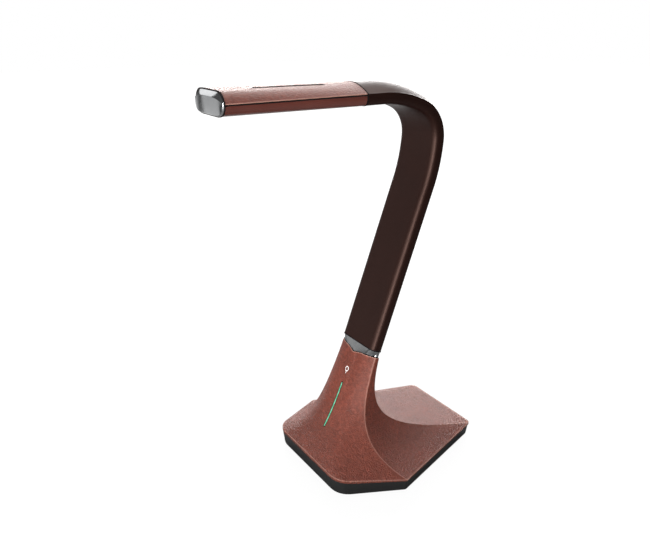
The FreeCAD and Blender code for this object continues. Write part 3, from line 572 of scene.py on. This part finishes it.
def dress(piece, node, body=None, angle=40, replaces=True):
    """Smooths a piece up to an angle, gives it a node's finish, and lets it replace the node."""
    piece.data.shade_smooth()
    piece.data.set_sharp_from_angle(angle=math.radians(angle))
    wear(piece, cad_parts[node].data.materials[0])
    if replaces:
        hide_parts(node)
    if body:
        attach(piece, body)


def flip(v):
    return Vector((-v.x, v.y, v.z))


def circle(count):
    turns = (2 * math.pi * k / count for k in range(count))
    return [(math.cos(a), math.sin(a)) for a in turns]


def bezier(a, b, c, count):
    """Points on a curve from a towards c, without c."""
    points = []
    for k in range(count):
        t = k / count
        points.append(a * (1 - t) ** 2 + b * 2 * t * (1 - t) + c * t * t)
    return points


def rounded_loop(corners, cuts, bulges, side_counts, corner_counts):
    """A loop with each corner rounded and each side bowed, as in the CAD source."""
    points = []
    count = len(corners)
    for i in range(count):
        here, there = corners[i], corners[(i + 1) % count]
        beyond = corners[(i + 2) % count]
        step = (there - here).normalized()
        start = here + step * cuts[i]
        cut = cuts[(i + 1) % count]
        end = there - step * cut
        points += bezier(start, (start + end) * 0.5 + bulges[i] * 2, end, side_counts[i])
        points += bezier(end, there, there + (beyond - there).normalized() * cut, corner_counts[i])
    return points


def drawn_in(point, middle, inset):
    """The point moved level towards the middle."""
    way = Vector((middle.x - point.x, middle.y - point.y, 0.0))
    return point + way.normalized() * inset


# The arm's path

def walk(y, z, heading, distance, radius):
    if radius is None:
        return y + distance * math.cos(heading), z + distance * math.sin(heading), heading
    turned = heading + distance / radius
    y += radius * (math.sin(turned) - math.sin(heading))
    z += radius * (math.cos(heading) - math.cos(turned))
    return y, z, turned


def station(distance):
    """Place and heading at a distance along the arm's path, also beyond its two ends."""
    y, z, heading = ARM_FOOT
    for run, radius in ARM_RUNS:
        if distance <= run or (run, radius) == ARM_RUNS[-1]:
            return walk(y, z, heading, distance, radius)
        y, z, heading = walk(y, z, heading, run, radius)
        distance -= run


SEAM_Y, EDGE_Z, _ = station(ARM_LENGTH)


def on_path(distance, across, away):
    y, z, heading = station(distance)
    return Vector((across, y + away * math.sin(heading), z - away * math.cos(heading)))


def sleeve_section(sizes, inset):
    """(across, away) points of the arm's section, seen along the path."""
    side = sizes.arm_half - inset
    right = [
        Vector((side, inset - sizes.arm_depth)),
        Vector((side, -sizes.arm_depth / 4)),
        Vector((side, -0.6 * inset)),
    ]
    left = [Vector((-p.x, p.y)) for p in reversed(right)]
    cut = sizes.arm_corner - min(inset, sizes.arm_corner / 2)
    bow = Vector((0, sizes.arm_crown - 0.4 * inset))
    flat = Vector((0, 0))
    return rounded_loop(
        right[1:] + left + right[:1],
        [SECTION_SIDE_CUT] * 4 + [cut, cut],
        [flat, bow, flat, flat, flat, flat],
        [3, 30, 3, 2, 18, 2],
        [3, 3, 2, 8, 8, 2],
    )


def swept(name, section, hollow, start, end, step):
    """A closed skin along the path: outer section, and inner section where hollow."""
    count = max(4, round((end - start) / step))
    places = [start + (end - start) * k / count for k in range(count + 1)]
    rows = [[on_path(s, p.x, p.y) for p in section] for s in places]
    if hollow:
        rows += [[on_path(s, p.x, p.y) for p in hollow] for s in reversed(places)]
        return outward(from_grid(name, rows, ring=True))
    return outward(fill_ends(from_grid(name, rows)))


def stretches(at_neck, at_head):
    """(index, start, end) of the arm's stretches, the outer two longer by what is given."""
    marks = [MARKS[0] - at_neck] + MARKS[1:-1] + [MARKS[-1] + at_head]
    return [(k, *ends) for k, ends in enumerate(zip(marks, marks[1:]))]


def bend_with(piece, index):
    """Bakes a stretch's placement into its mesh; its two ends on the path are worked out but not
    used.
    """
    start = on_path(MARKS[index] + BEND_MARGIN, 0, SPINE_AWAY)
    end = on_path(MARKS[index + 1] - BEND_MARGIN, 0, SPINE_AWAY)
    BODIES[index + 1]
    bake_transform(piece)


# The base's cover, as in the CAD source

def base_corners(sizes):
    front_y = -sizes.base_length / 2
    widest = Vector((sizes.base_width / 2, front_y + sizes.widest_setback, 0))
    rear = Vector((sizes.rear_edge / 2, sizes.base_length / 2, 0))
    front = Vector((sizes.front_edge / 2, front_y, 0))
    return [widest, rear, flip(rear), flip(widest), flip(front), front]


def neck_corners(sizes, z):
    above = z - sizes.neck_top
    widest = Vector((sizes.neck_half, NECK_WIDEST_Y + NECK_LEAN * above, 0))
    rear = Vector((sizes.neck_half, NECK_REAR_Y + NECK_LEAN * above, 0))
    front = Vector((NECK_FRONT_HALF, NECK_FRONT_Y + FRONT_LEAN * above, 0))
    return [widest, rear, flip(rear), flip(widest), flip(front), front]


def flare_start(sizes):
    return sizes.band_rear + sizes.lip_rear


def flare_height(sizes, share):
    floor = math.exp(-(sizes.neck_top - flare_start(sizes)) / sizes.flare_decay)
    return flare_start(sizes) - sizes.flare_decay * math.log(share * (1 - floor) + floor)


def cover_loop(sizes, share):
    """The cover's outline at a share of its flare, from 0 at the neck to 1 at the band."""
    z = flare_height(sizes, share) if share > 0 else sizes.neck_top
    wide, slim = base_corners(sizes), neck_corners(sizes, z)
    rise = sizes.band_front + sizes.lip_front - flare_start(sizes)
    corners = []
    for i in range(6):
        front = i > 3
        run = share ** 1.3 if front else share
        depth = share ** 1.7 if front else share
        x = slim[i].x + run * (wide[i].x - slim[i].x)
        y = slim[i].y + depth * (wide[i].y - slim[i].y)
        corners.append(Vector((x, y, z + (rise * share ** 2 if front else 0))))
    side_cut = sizes.side_cut + (TOP_SIDE_CUT - sizes.side_cut) * (1 - share) ** 20
    side_cut = min(side_cut, 0.45 * (corners[1] - corners[0]).length)
    rear_cut = TOP_REAR_CUT + (sizes.rear_cut - TOP_REAR_CUT) * share ** 8
    front_cut = TOP_FRONT_CUT + (sizes.front_cut - TOP_FRONT_CUT) * share
    cuts = [side_cut, rear_cut, rear_cut, side_cut, front_cut, front_cut]
    rear_bow = Vector((0, REAR_BOW * (1 - share) ** 6, 0))
    front_bow = Vector((0, -FRONT_BOW * (1 - share), 0))
    flat = Vector((0, 0, 0))
    bows = [flat, rear_bow, flat, flat, front_bow, flat]
    return rounded_loop(corners, cuts, bows, *COVER_COUNTS)


known_loops = {}


def cover_point(sizes, share, index):
    key = round(share, 7)
    if key not in known_loops:
        known_loops[key] = cover_loop(sizes, share)
    return known_loops[key][index].copy()


def crease_highlight_shares():
    """For each point of the cover's loop, the strength of its painted highlight: how near it is to
    the middle of a long fold.
    """
    shares = []
    for i, (side, count) in enumerate(zip(*COVER_COUNTS)):
        shares += [0.0] * side
        for k in range(count):
            middle = 1 - abs(k - count / 2) / (count / 2)
            shares.append(0.0 if i in (3, 4) else middle ** 2)
    return shares


def parting_height(sizes, y):
    """Height of the line between band and leather, which rises towards the front."""
    front_y = -sizes.base_length / 2
    widest_y = front_y + sizes.widest_setback
    share = max(0.0, (widest_y - y) / (widest_y - front_y))
    return sizes.band_rear + (sizes.band_front - sizes.band_rear) * share


def below_notch(sizes, p):
    notch = sizes.notch_depth * max(0.0, 1 - abs(p.x) / sizes.notch_half)
    return p.z <= sizes.neck_top - NECK_LEAN * (p.y - NECK_WIDEST_Y) - notch


def top_share(sizes, index, table):
    """The flare's share at which a line of the cover ends in the notched top edge."""
    low = next((s for s, loop in table if below_notch(sizes, loop[index])), 0.0)
    high = max(0.0, low - 0.004)
    for _ in range(12):
        middle = (low + high) / 2
        if below_notch(sizes, cover_point(sizes, middle, index)):
            low = middle
        else:
            high = middle
    return low


def cover_rows(sizes, levels):
    """Rows of points up the leather, from the band to the notched top edge."""
    # The notched edge crosses the flare's first 16 percent, with the finest steps at the top.
    shares = [(k / 160) ** 2 * 0.16 for k in range(161)]
    table = [(s, cover_loop(sizes, s)) for s in shares]
    bottom = cover_loop(sizes, 1.0)
    tops = [top_share(sizes, i, table) for i in range(len(bottom))]
    rows = [[Vector((p.x, p.y, parting_height(sizes, p.y))) for p in bottom]]
    rows.append([r.lerp(p, 0.5) for r, p in zip(rows[0], bottom)])
    for j in range(levels + 1):
        share = (1 - j / levels) ** 2.4
        rows.append([
            cover_point(sizes, top + (1 - top) * share, i) for i, top in enumerate(tops)
        ])
    return rows


# The head and what lies on the neck's front

def head_top(sizes, x, y):
    """Height of the head's leather: an arch at the seam, squarer towards the end."""
    along = (SEAM_Y - y) / sizes.head_length
    share = min(1.0, abs(x) / sizes.arm_half)
    seam = sizes.arm_crown * (1 - share ** 2)
    end = sizes.end_crown * (1 - share ** 7)
    return EDGE_Z + seam + (end - seam) * along


def head_outline(sizes, grow):
    """(across, height) points round the head's end, moved outwards by grow."""
    end_y = SEAM_Y - sizes.head_length
    half, low = sizes.arm_half + grow, EDGE_Z - sizes.arm_depth - grow
    width, height = sizes.head_round_width + grow, sizes.head_round_height + grow
    loop = []
    for k in range(41):
        x = -half * math.cos(math.pi * k / 40)
        loop.append(Vector((x, head_top(sizes, x * sizes.arm_half / half, end_y) + grow)))
    turn_end = Vector((half - width, low))
    right = bezier(Vector((half, low + height)), Vector((half, low)), turn_end, 12)
    left = [Vector((-p.x, p.y)) for p in reversed(right)]
    return loop + right + [turn_end, Vector((width - half, low))] + left


def on_front(tree, x, z, lift):
    """The point on the cover's front at (x, z), moved out along its normal."""
    outside = Vector((x, -0.3, z))
    place, normal, _, _ = tree.ray_cast(outside, Vector((0, 1, 0)))
    return place + normal * lift


def raised_band(half, flat_half, sunk, raised):
    return ((-half, sunk), (-flat_half, raised), (flat_half, raised), (half, sunk))


def front_ribbon(tree, name, low, high, steps, profile, end_taper=1.0):
    """A narrow band up the cover's front, slimmer at its two ends."""
    rows = []
    for j in range(steps + 1):
        z = low + (high - low) * j / steps
        taper = 1.0 if 0 < j < steps else end_taper
        rows.append([on_front(tree, x * taper, z, lift) for x, lift in profile])
    return from_grid(name, rows)


# Operators, one for each piece or group of like pieces

class LAMP_OT_frame_finish(Operator):
    """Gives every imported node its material"""

    bl_idname = "lamp.frame_finish"
    bl_label = "Finish the frame"

    def execute(self, context):
        tones = context.scene.lamp_colours
        # Painted shade: the collar wears a darker copy of the end cap's silver.
        collar, along_x = shaded(tones.silver, 0.72), (60.0, 2000.0, 2000.0)
        plan = (
            (metal_paint("cap_silver", tones.silver, 0.15, (40.0, 2200.0, 2200.0)), "end_cap"),
            (metal_paint("collar_silver_shaded", collar, 0.20, (900.0, 900.0, 300.0)), "neck_collar"),
            (metal_paint("link_alloy", (0.55, 0.55, 0.56), 0.45, (600.0, 600.0, 600.0)),
             "spine_", "heat_spreader"),
            (metal_paint("screw_satin", (0.58, 0.58, 0.60), 0.32, (900.0, 900.0, 200.0)),
             "base_screws", "bracket_screws", "board_screws", "head_screws", "clamp_screws"),
            (metal_paint("pin_steel", (0.56, 0.56, 0.57), 0.28, along_x), "hinge_pin"),
            (metal_paint("bracket_steel", (0.45, 0.45, 0.46), 0.4, (300.0, 300.0, 30.0)),
             "neck_bracket"),
            (board_paint("board_green", (0.012, 0.11, 0.045), (0.55, 0.42, 0.2)),
             "control_board", "touch_board"),
            (board_paint("board_white", (0.75, 0.76, 0.75), (0.8, 0.78, 0.7)), "led_board"),
            (moulded_paint("socket_black", (0.015, 0.015, 0.015), 0.45, 0.0006),
             "dc_socket", "head_clamp"),
            (moulded_paint("shell_plastic", (0.010, 0.006, 0.005), 0.6, 0.0008),
             "base_cover", "head_cover"),
            (moulded_paint("black_band", tones.band, 0.42, 0.0007), "base_tray"),
            (moulded_paint("lead_jacket", (0.10, 0.10, 0.105), 0.6, 0.0005),
             "socket_lead", "arm_lead"),
            (moulded_paint("sign_print", tones.sign, 0.5, 0.0005), "touch_mark"),
            (moulded_paint("housing_brown", tones.housing, 0.26, 0.0015, coat=0.35),
             "head_housing"),
            (moulded_paint("gasket_black", (0.007, 0.004, 0.004), 0.75, 0.0006, shine=0.12),
             "slot_trim"),
            (moulded_paint("reflector_white", (0.82, 0.82, 0.82), 0.35, 0.0008),
             "reflector_frame"),
            (moulded_paint("lamp_yellow", (0.85, 0.66, 0.10), 0.3, 0.0004), "led_lamps"),
            (leather_paint("leather_base", tones, 0.0018, (230.0, 380.0, 380.0), 0.0012),
             "base_leather"),
            (leather_paint("leather_head", tones, 0.0013, (620.0, 260.0, 620.0), 0.00022, 0.9),
             "head_leather"),
            (silicone_paint(tones), "arm_sleeve"),
            (strip_paint(tones), "strip_light_guide"),
            (opal_paint(), "diffuser"),
            (iron_paint(), "ballast_plate"),
            (pad_paint(), "base_pad"),
        )
        for name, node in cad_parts.items():
            wear(node, next(material for material, *starts in plan
                            if name.startswith(tuple(starts))))
        return {"FINISHED"}


class LAMP_OT_base_leather(Operator):
    """Makes the leather over base and neck, with its creases, lip and cut edges"""

    bl_idname = "lamp.base_leather"
    bl_label = "Base leather"

    # Width of the painted highlight along the top edge and the lip.
    highlight_width = 0.0012
    calm_from, calm_over = 0.03, 0.05

    def execute(self, context):
        sizes = context.scene.lamp_sizes
        rows = cover_rows(sizes, 72)
        piece = from_grid("base_leather_skin", rows)
        around = crease_highlight_shares()
        painted_highlight, calm = [], []
        for row in rows:
            for i, p in enumerate(row):
                # Painted highlight along the top edge (brim), the lip's fold and the long creases.
                brim = 1.0 - (p - rows[-1][i]).length / self.highlight_width
                fold = 0.75 - (p - rows[2][i]).length / self.highlight_width
                painted_highlight.append(max(around[i] * 0.8, brim, fold, 0.0))
                calm.append(min(1.0, max(0.0, (p.z - self.calm_from) / self.calm_over)))
        point_values(piece, "crease_highlight", painted_highlight)
        point_values(piece, "calm", calm)
        modify(piece, "SOLIDIFY", thickness=sizes.leather * 0.9, offset=-1.0)
        bevel(outward(piece), 0.00035)
        dress(piece, "base_leather", "base")
        return {"FINISHED"}


class LAMP_OT_sleeve(Operator):
    """Makes the silicone sleeve in eight stretches along the spine"""

    bl_idname = "lamp.sleeve"
    bl_label = "Arm sleeve"

    neck_gap, head_gap = 0.0002, 0.0014

    def execute(self, context):
        sizes = context.scene.lamp_sizes
        outer = sleeve_section(sizes, 0.0)
        inner = sleeve_section(sizes, sizes.sleeve_wall)
        for index, start, end in stretches(-self.neck_gap, -self.head_gap):
            name = f"sleeve_stretch_{index + 1}"
            piece = swept(name, outer, inner, start, end, 0.0016)
            dress(piece, f"arm_sleeve_{index + 1}")
            bend_with(piece, index)
        return {"FINISHED"}


class LAMP_OT_lead(Operator):
    """Makes the flat twin cable inside base, neck and arm"""

    bl_idname = "lamp.lead"
    bl_label = "Inner lead"

    def execute(self, context):
        section = []
        for c, s in circle(20):
            middle = LEAD_ACROSS + (LEAD_LOBE if c > 0 else -LEAD_LOBE)
            away = SPINE_AWAY + LEAD_HALF_HEIGHT * s
            section.append(Vector((middle + LEAD_HALF_WIDTH * c, away)))
        foot = swept("lead_in_neck", section, None, LEAD_FOOT, 0.0, 0.01)
        centre = on_path(LEAD_FOOT, 0, LEAD_BEND_AWAY)
        rows = []
        for k in range(19):
            turn = Matrix.Rotation(math.radians(110.0) * k / 18, 3, "X")
            rows.append([
                centre + turn @ (on_path(LEAD_FOOT, p.x, p.y) - centre) for p in section
            ])
        board_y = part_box("control_board")[0].y - 0.0002
        rows.append([Vector((p.x, board_y, p.z)) for p in rows[-1]])
        run = outward(from_grid("lead_on_ballast", rows))
        for piece in (foot, run):
            dress(piece, "arm_lead", "base", 50, False)
        for index, start, end in stretches(0.0, LEAD_IN_HEAD):
            piece = swept(f"lead_stretch_{index + 1}", section, None, start, end, 0.003)
            dress(piece, "arm_lead", None, 50, index == 0)
            bend_with(piece, index)
        return {"FINISHED"}


class LAMP_OT_head_leather(Operator):
    """Makes the leather on the head, with its slot and cut edges"""

    bl_idname = "lamp.head_leather"
    bl_label = "Head leather"

    def execute(self, context):
        sizes = context.scene.lamp_sizes
        low = EDGE_Z + sizes.groove_above
        rows, painted_highlight = [], []
        count, across = 90, 72
        for j in range(count + 1):
            y = SEAM_Y - sizes.head_length * j / count
            rows.append([])
            for k in range(across + 1):
                x = -sizes.arm_half * math.cos(math.pi * k / across)
                rows[-1].append(Vector((x, y, max(head_top(sizes, x, y), low))))
                # Painted highlight along the two outer lines of points and along the two ends.
                side = {0: 0.8, 1: 0.35}.get(min(k, across - k), 0.0)
                painted_highlight.append(max(side, 0.7 if j in (0, count) else 0.0))
        piece = from_grid("head_leather_skin", rows, closed=False)
        point_values(piece, "crease_highlight", painted_highlight)
        modify(piece, "SOLIDIFY", thickness=sizes.leather * 0.9, offset=1.0)
        outward(piece)
        left = sizes.slot_side - sizes.slot_width / 2
        right = sizes.slot_side + sizes.slot_width / 2
        near = SEAM_Y - sizes.slot_start
        far = near - sizes.slot_length
        ring = ((left, far), (right, far), (right, near), (left, near))
        clear = EDGE_Z + 0.03
        walls = [[Vector((x, y, z)) for x, y in ring] for z in (EDGE_Z, clear)]
        tool = outward(fill_ends(from_grid("slot_tool", walls)))
        modify(piece, "BOOLEAN", operation="DIFFERENCE", object=tool, solver="EXACT")
        bpy.data.objects.remove(tool)
        bevel(piece, 0.0003)
        dress(piece, "head_leather", "head")
        return {"FINISHED"}


class LAMP_OT_neck_signs(Operator):
    """Makes the light strip with its dark rim, and the touch sign on the neck's front"""

    bl_idname = "lamp.neck_signs"
    bl_label = "Light strip and touch sign"

    strip_profile = (
        (-0.0009, -0.0003), (-0.0008, 0.00012), (-0.0004, 0.00024), (0.0, 0.00028),
        (0.0004, 0.00024), (0.0008, 0.00012), (0.0009, -0.0003), (0.0, -0.0006),
    )
    sign_sunk, sign_raised = -0.0003, 0.00008
    rim_beyond = 0.0007

    def execute(self, context):
        sizes = context.scene.lamp_sizes
        skin = bpy.data.objects["base_leather_skin"]
        tree = BVHTree.FromObject(skin, context.evaluated_depsgraph_get())
        low, high = sizes.strip_low, sizes.strip_high
        strip = front_ribbon(tree, "light_strip", low, high, 60, self.strip_profile, 0.6)
        modify(strip, "SUBSURF", levels=1, render_levels=1)
        dress(outward(strip), "strip_light_guide", "base", 60)
        middle, outer, line = sizes.touch_height, sizes.sign_radius, sizes.sign_line
        radii = (outer - line, outer - 0.9 * line, outer - 0.1 * line, outer)
        lifts = (self.sign_sunk, self.sign_raised, self.sign_raised, self.sign_sunk)
        rows = [
            [on_front(tree, r * c, middle + r * s, lift) for c, s in circle(48)]
            for r, lift in zip(radii, lifts)
        ]
        ring = from_grid("touch_sign_ring", rows, ring=True)
        dress(outward(ring), "touch_mark", "base")
        band = raised_band(line / 2, 0.4 * line, self.sign_sunk, self.sign_raised)
        top = middle - outer + line / 2
        foot = top - sizes.sign_stem - line / 2
        stem = fill_ends(front_ribbon(tree, "touch_sign_stem", top, foot, 4, band))
        dress(outward(stem), "touch_mark", "base", replaces=False)
        band = raised_band(0.0015, 0.0013, -0.0004, 0.00006)
        low, high = low - self.rim_beyond, high + self.rim_beyond
        rim = fill_ends(front_ribbon(tree, "strip_dark_rim", low, high, 60, band, 0.8))
        dress(outward(rim), "slot_trim", "base", replaces=False)
        return {"FINISHED"}


class LAMP_OT_slot_inlay(Operator):
    """Makes the dark inlay in the slot on the head, rounded over the leather"""

    bl_idname = "lamp.slot_inlay"
    bl_label = "Slot inlay"

    depth = 0.0012

    def execute(self, context):
        sizes = context.scene.lamp_sizes
        start, steps = SEAM_Y - sizes.slot_start, 72
        rows = []
        for j in range(steps + 1):
            y = start - sizes.slot_length * j / steps
            ends = min(1.0, min(j, steps - j) / 3) ** 0.5
            half = sizes.slot_width / 2 * (0.35 + 0.62 * ends)
            row = []
            for k in range(9):
                turn = math.pi * k / 8
                x = sizes.slot_side - half * math.cos(turn)
                lift = sizes.trim_proud * (2.4 * math.sin(turn) ** 0.7 * ends - 0.35)
                row.append(Vector((x, y, head_top(sizes, x, y) + lift)))
            row += [Vector((p.x, p.y, p.z - self.depth)) for p in (row[-1], row[0])]
            rows.append(row)
        piece = outward(fill_ends(from_grid("slot_inlay_bead", rows)))
        dress(piece, "slot_trim", "head", 50)
        return {"FINISHED"}


class LAMP_OT_rounded_trim(Operator):
    """Makes the rigid visible pieces again with softly broken edges"""

    bl_idname = "lamp.rounded_trim"
    bl_label = "Rounded trim"

    plan = (
        ("end_cap", "end_cap_cast", "head", "satin_silver", 0.00025),
        ("neck_collar", "neck_collar_ring", "base", "satin_silver", 0.0005),
        ("head_housing", "head_housing_shell", "head", "housing_brown", 0.0003),
        ("base_tray", "base_tray_band", "base", "black_band", 0.0004),
    )

    def execute(self, context):
        for node, name, body, slot, width in self.plan:
            piece = copy_of(node, name)
            bevel(piece, width, 18)
            dress(piece, node, body, 24)
        return {"FINISHED"}


class LAMP_OT_socket_rim(Operator):
    """Makes the metal rim of the inlet at the rear of the base"""

    bl_idname = "lamp.socket_rim"
    bl_label = "Inlet"

    profile = (
        (0.00278, -0.006), (0.00278, 0.0002), (0.0030, 0.0005),
        (0.0032, 0.0002), (0.0032, -0.0004),
    )

    def execute(self, context):
        low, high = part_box("dc_socket")
        middle = Vector((0, high.y, (low.z + high.z) / 2))
        rows = [
            [middle + Vector((r * c, y, r * s)) for c, s in circle(48)] for r, y in self.profile
        ]
        rim = from_grid("inlet_rim", rows)
        modify(rim, "SOLIDIFY", thickness=0.0002, offset=0.0)
        dress(outward(rim), "base_screws", "base", replaces=False)
        return {"FINISHED"}


class LAMP_OT_seams(Operator):
    """Makes the dark gaskets where leather, collar, sleeve, head and end cap meet"""

    bl_idname = "lamp.seams"
    bl_label = "Seam gaskets"

    # (outwards, along the head) and (inwards, upwards)
    cap_section = ((0.0003, 0.0005), (0.0003, -0.0005), (-0.0012, -0.0005), (-0.0012, 0.0005))
    collar_section = ((0.0006, -0.0008), (0.0006, 0.0003), (0.0014, 0.0005), (0.0014, -0.0008))

    def execute(self, context):
        sizes = context.scene.lamp_sizes
        outer, inner = sleeve_section(sizes, -0.00025), sleeve_section(sizes, 0.0012)
        head_seam = (ARM_LENGTH - 0.0013, ARM_LENGTH + 0.0002)
        head = swept("seam_gasket_head", outer, inner, *head_seam, 0.0005)
        neck = swept("seam_gasket_neck", outer, inner, -0.0006, 0.0004, 0.0005)
        end_y = SEAM_Y - sizes.head_length
        rows = []
        for grow, y in self.cap_section:
            rows.append([Vector((p.x, end_y + y, p.y)) for p in head_outline(sizes, grow)])
        cap = outward(from_grid("seam_gasket_cap", rows, ring=True))
        brim = cover_rows(sizes, 2)[-1]
        middle = sum(brim, Vector()) / len(brim)
        rows = []
        for inset, lift in self.collar_section:
            rows.append([drawn_in(p, middle, inset) + Vector((0, 0, lift)) for p in brim])
        name = "seam_gasket_collar"
        collar = outward(from_grid(name, rows, ring=True))
        for piece, body in ((head, "head"), (neck, "base"), (cap, "head"), (collar, "base")):
            dress(piece, "slot_trim", body, replaces=False)
        return {"FINISHED"}


class LAMP_OT_stage(Operator):
    """Sets the floor, the soft lights, the world and the camera"""

    bl_idname = "lamp.stage"
    bl_label = "Stage"

    def execute(self, context):
        scene = context.scene
        stage = scene.lamp_stage
        scene.view_settings.view_transform = "Standard"
        edges = (-FLOOR_HALF, FLOOR_HALF)
        rows = [[Vector((x, y, 0)) for x in edges] for y in edges]
        floor = from_grid("stage_floor", rows, closed=False)
        wear(floor, stage_paint(scene.lamp_colours.floor))
        for name, place, target, size, power in LIGHTS:
            data = bpy.data.lights.new(name, "AREA")
            data.shape = "RECTANGLE"
            data.size, data.size_y = size
            data.energy = power
            lamp = shown(name, data)
            lamp.location = place
            way = Vector(target) - Vector(place)
            lamp.rotation_euler = way.to_track_quat("-Z", "Y").to_euler()
        scene.world = studio_world()
        data = bpy.data.cameras.new("photo_camera")
        data.lens = stage.lens
        data.sensor_width = 36.0
        data.sensor_fit = "HORIZONTAL"
        data.clip_start = 0.01
        camera = shown("photo_camera", data)
        yaw, pitch = math.radians(stage.yaw), math.radians(stage.pitch)
        level = math.cos(pitch)
        way = Vector((-math.sin(yaw) * level, math.cos(yaw) * level, -math.sin(pitch)))
        camera.location = stage.place
        camera.rotation_euler = way.to_track_quat("-Z", "Y").to_euler()
        scene.camera = camera
        return {"FINISHED"}


class LAMP_PT_pieces(Panel):
    """Lists the lamp's pieces in the sidebar"""

    bl_label = "Desk lamp"
    bl_space_type = "VIEW_3D"
    bl_region_type = "UI"
    bl_category = "Desk lamp"

    def draw(self, context):
        for operator in STEPS:
            self.layout.operator(operator.bl_idname)


STEPS = (
    LAMP_OT_stage,
    LAMP_OT_frame_finish,
    LAMP_OT_base_leather,
    LAMP_OT_sleeve,
    LAMP_OT_lead,
    LAMP_OT_head_leather,
    LAMP_OT_neck_signs,
    LAMP_OT_slot_inlay,
    LAMP_OT_rounded_trim,
    LAMP_OT_socket_rim,
    LAMP_OT_seams,
)
GROUPS = {"lamp_sizes": LampSizes, "lamp_colours": LampColours, "lamp_stage": LampStage}
CLASSES = (*GROUPS.values(), *STEPS, LAMP_PT_pieces)


def register():
    for cls in CLASSES:
        bpy.utils.register_class(cls)
    for name, group in GROUPS.items():
        setattr(bpy.types.Scene, name, PointerProperty(type=group))


def unregister():
    for name in GROUPS:
        delattr(bpy.types.Scene, name)
    for cls in reversed(CLASSES):
        bpy.utils.unregister_class(cls)


def main():
    register()
    for operator in STEPS:
        getattr(bpy.ops.lamp, operator.bl_idname.split(".")[1])()


if __name__ == "__main__":
    main()
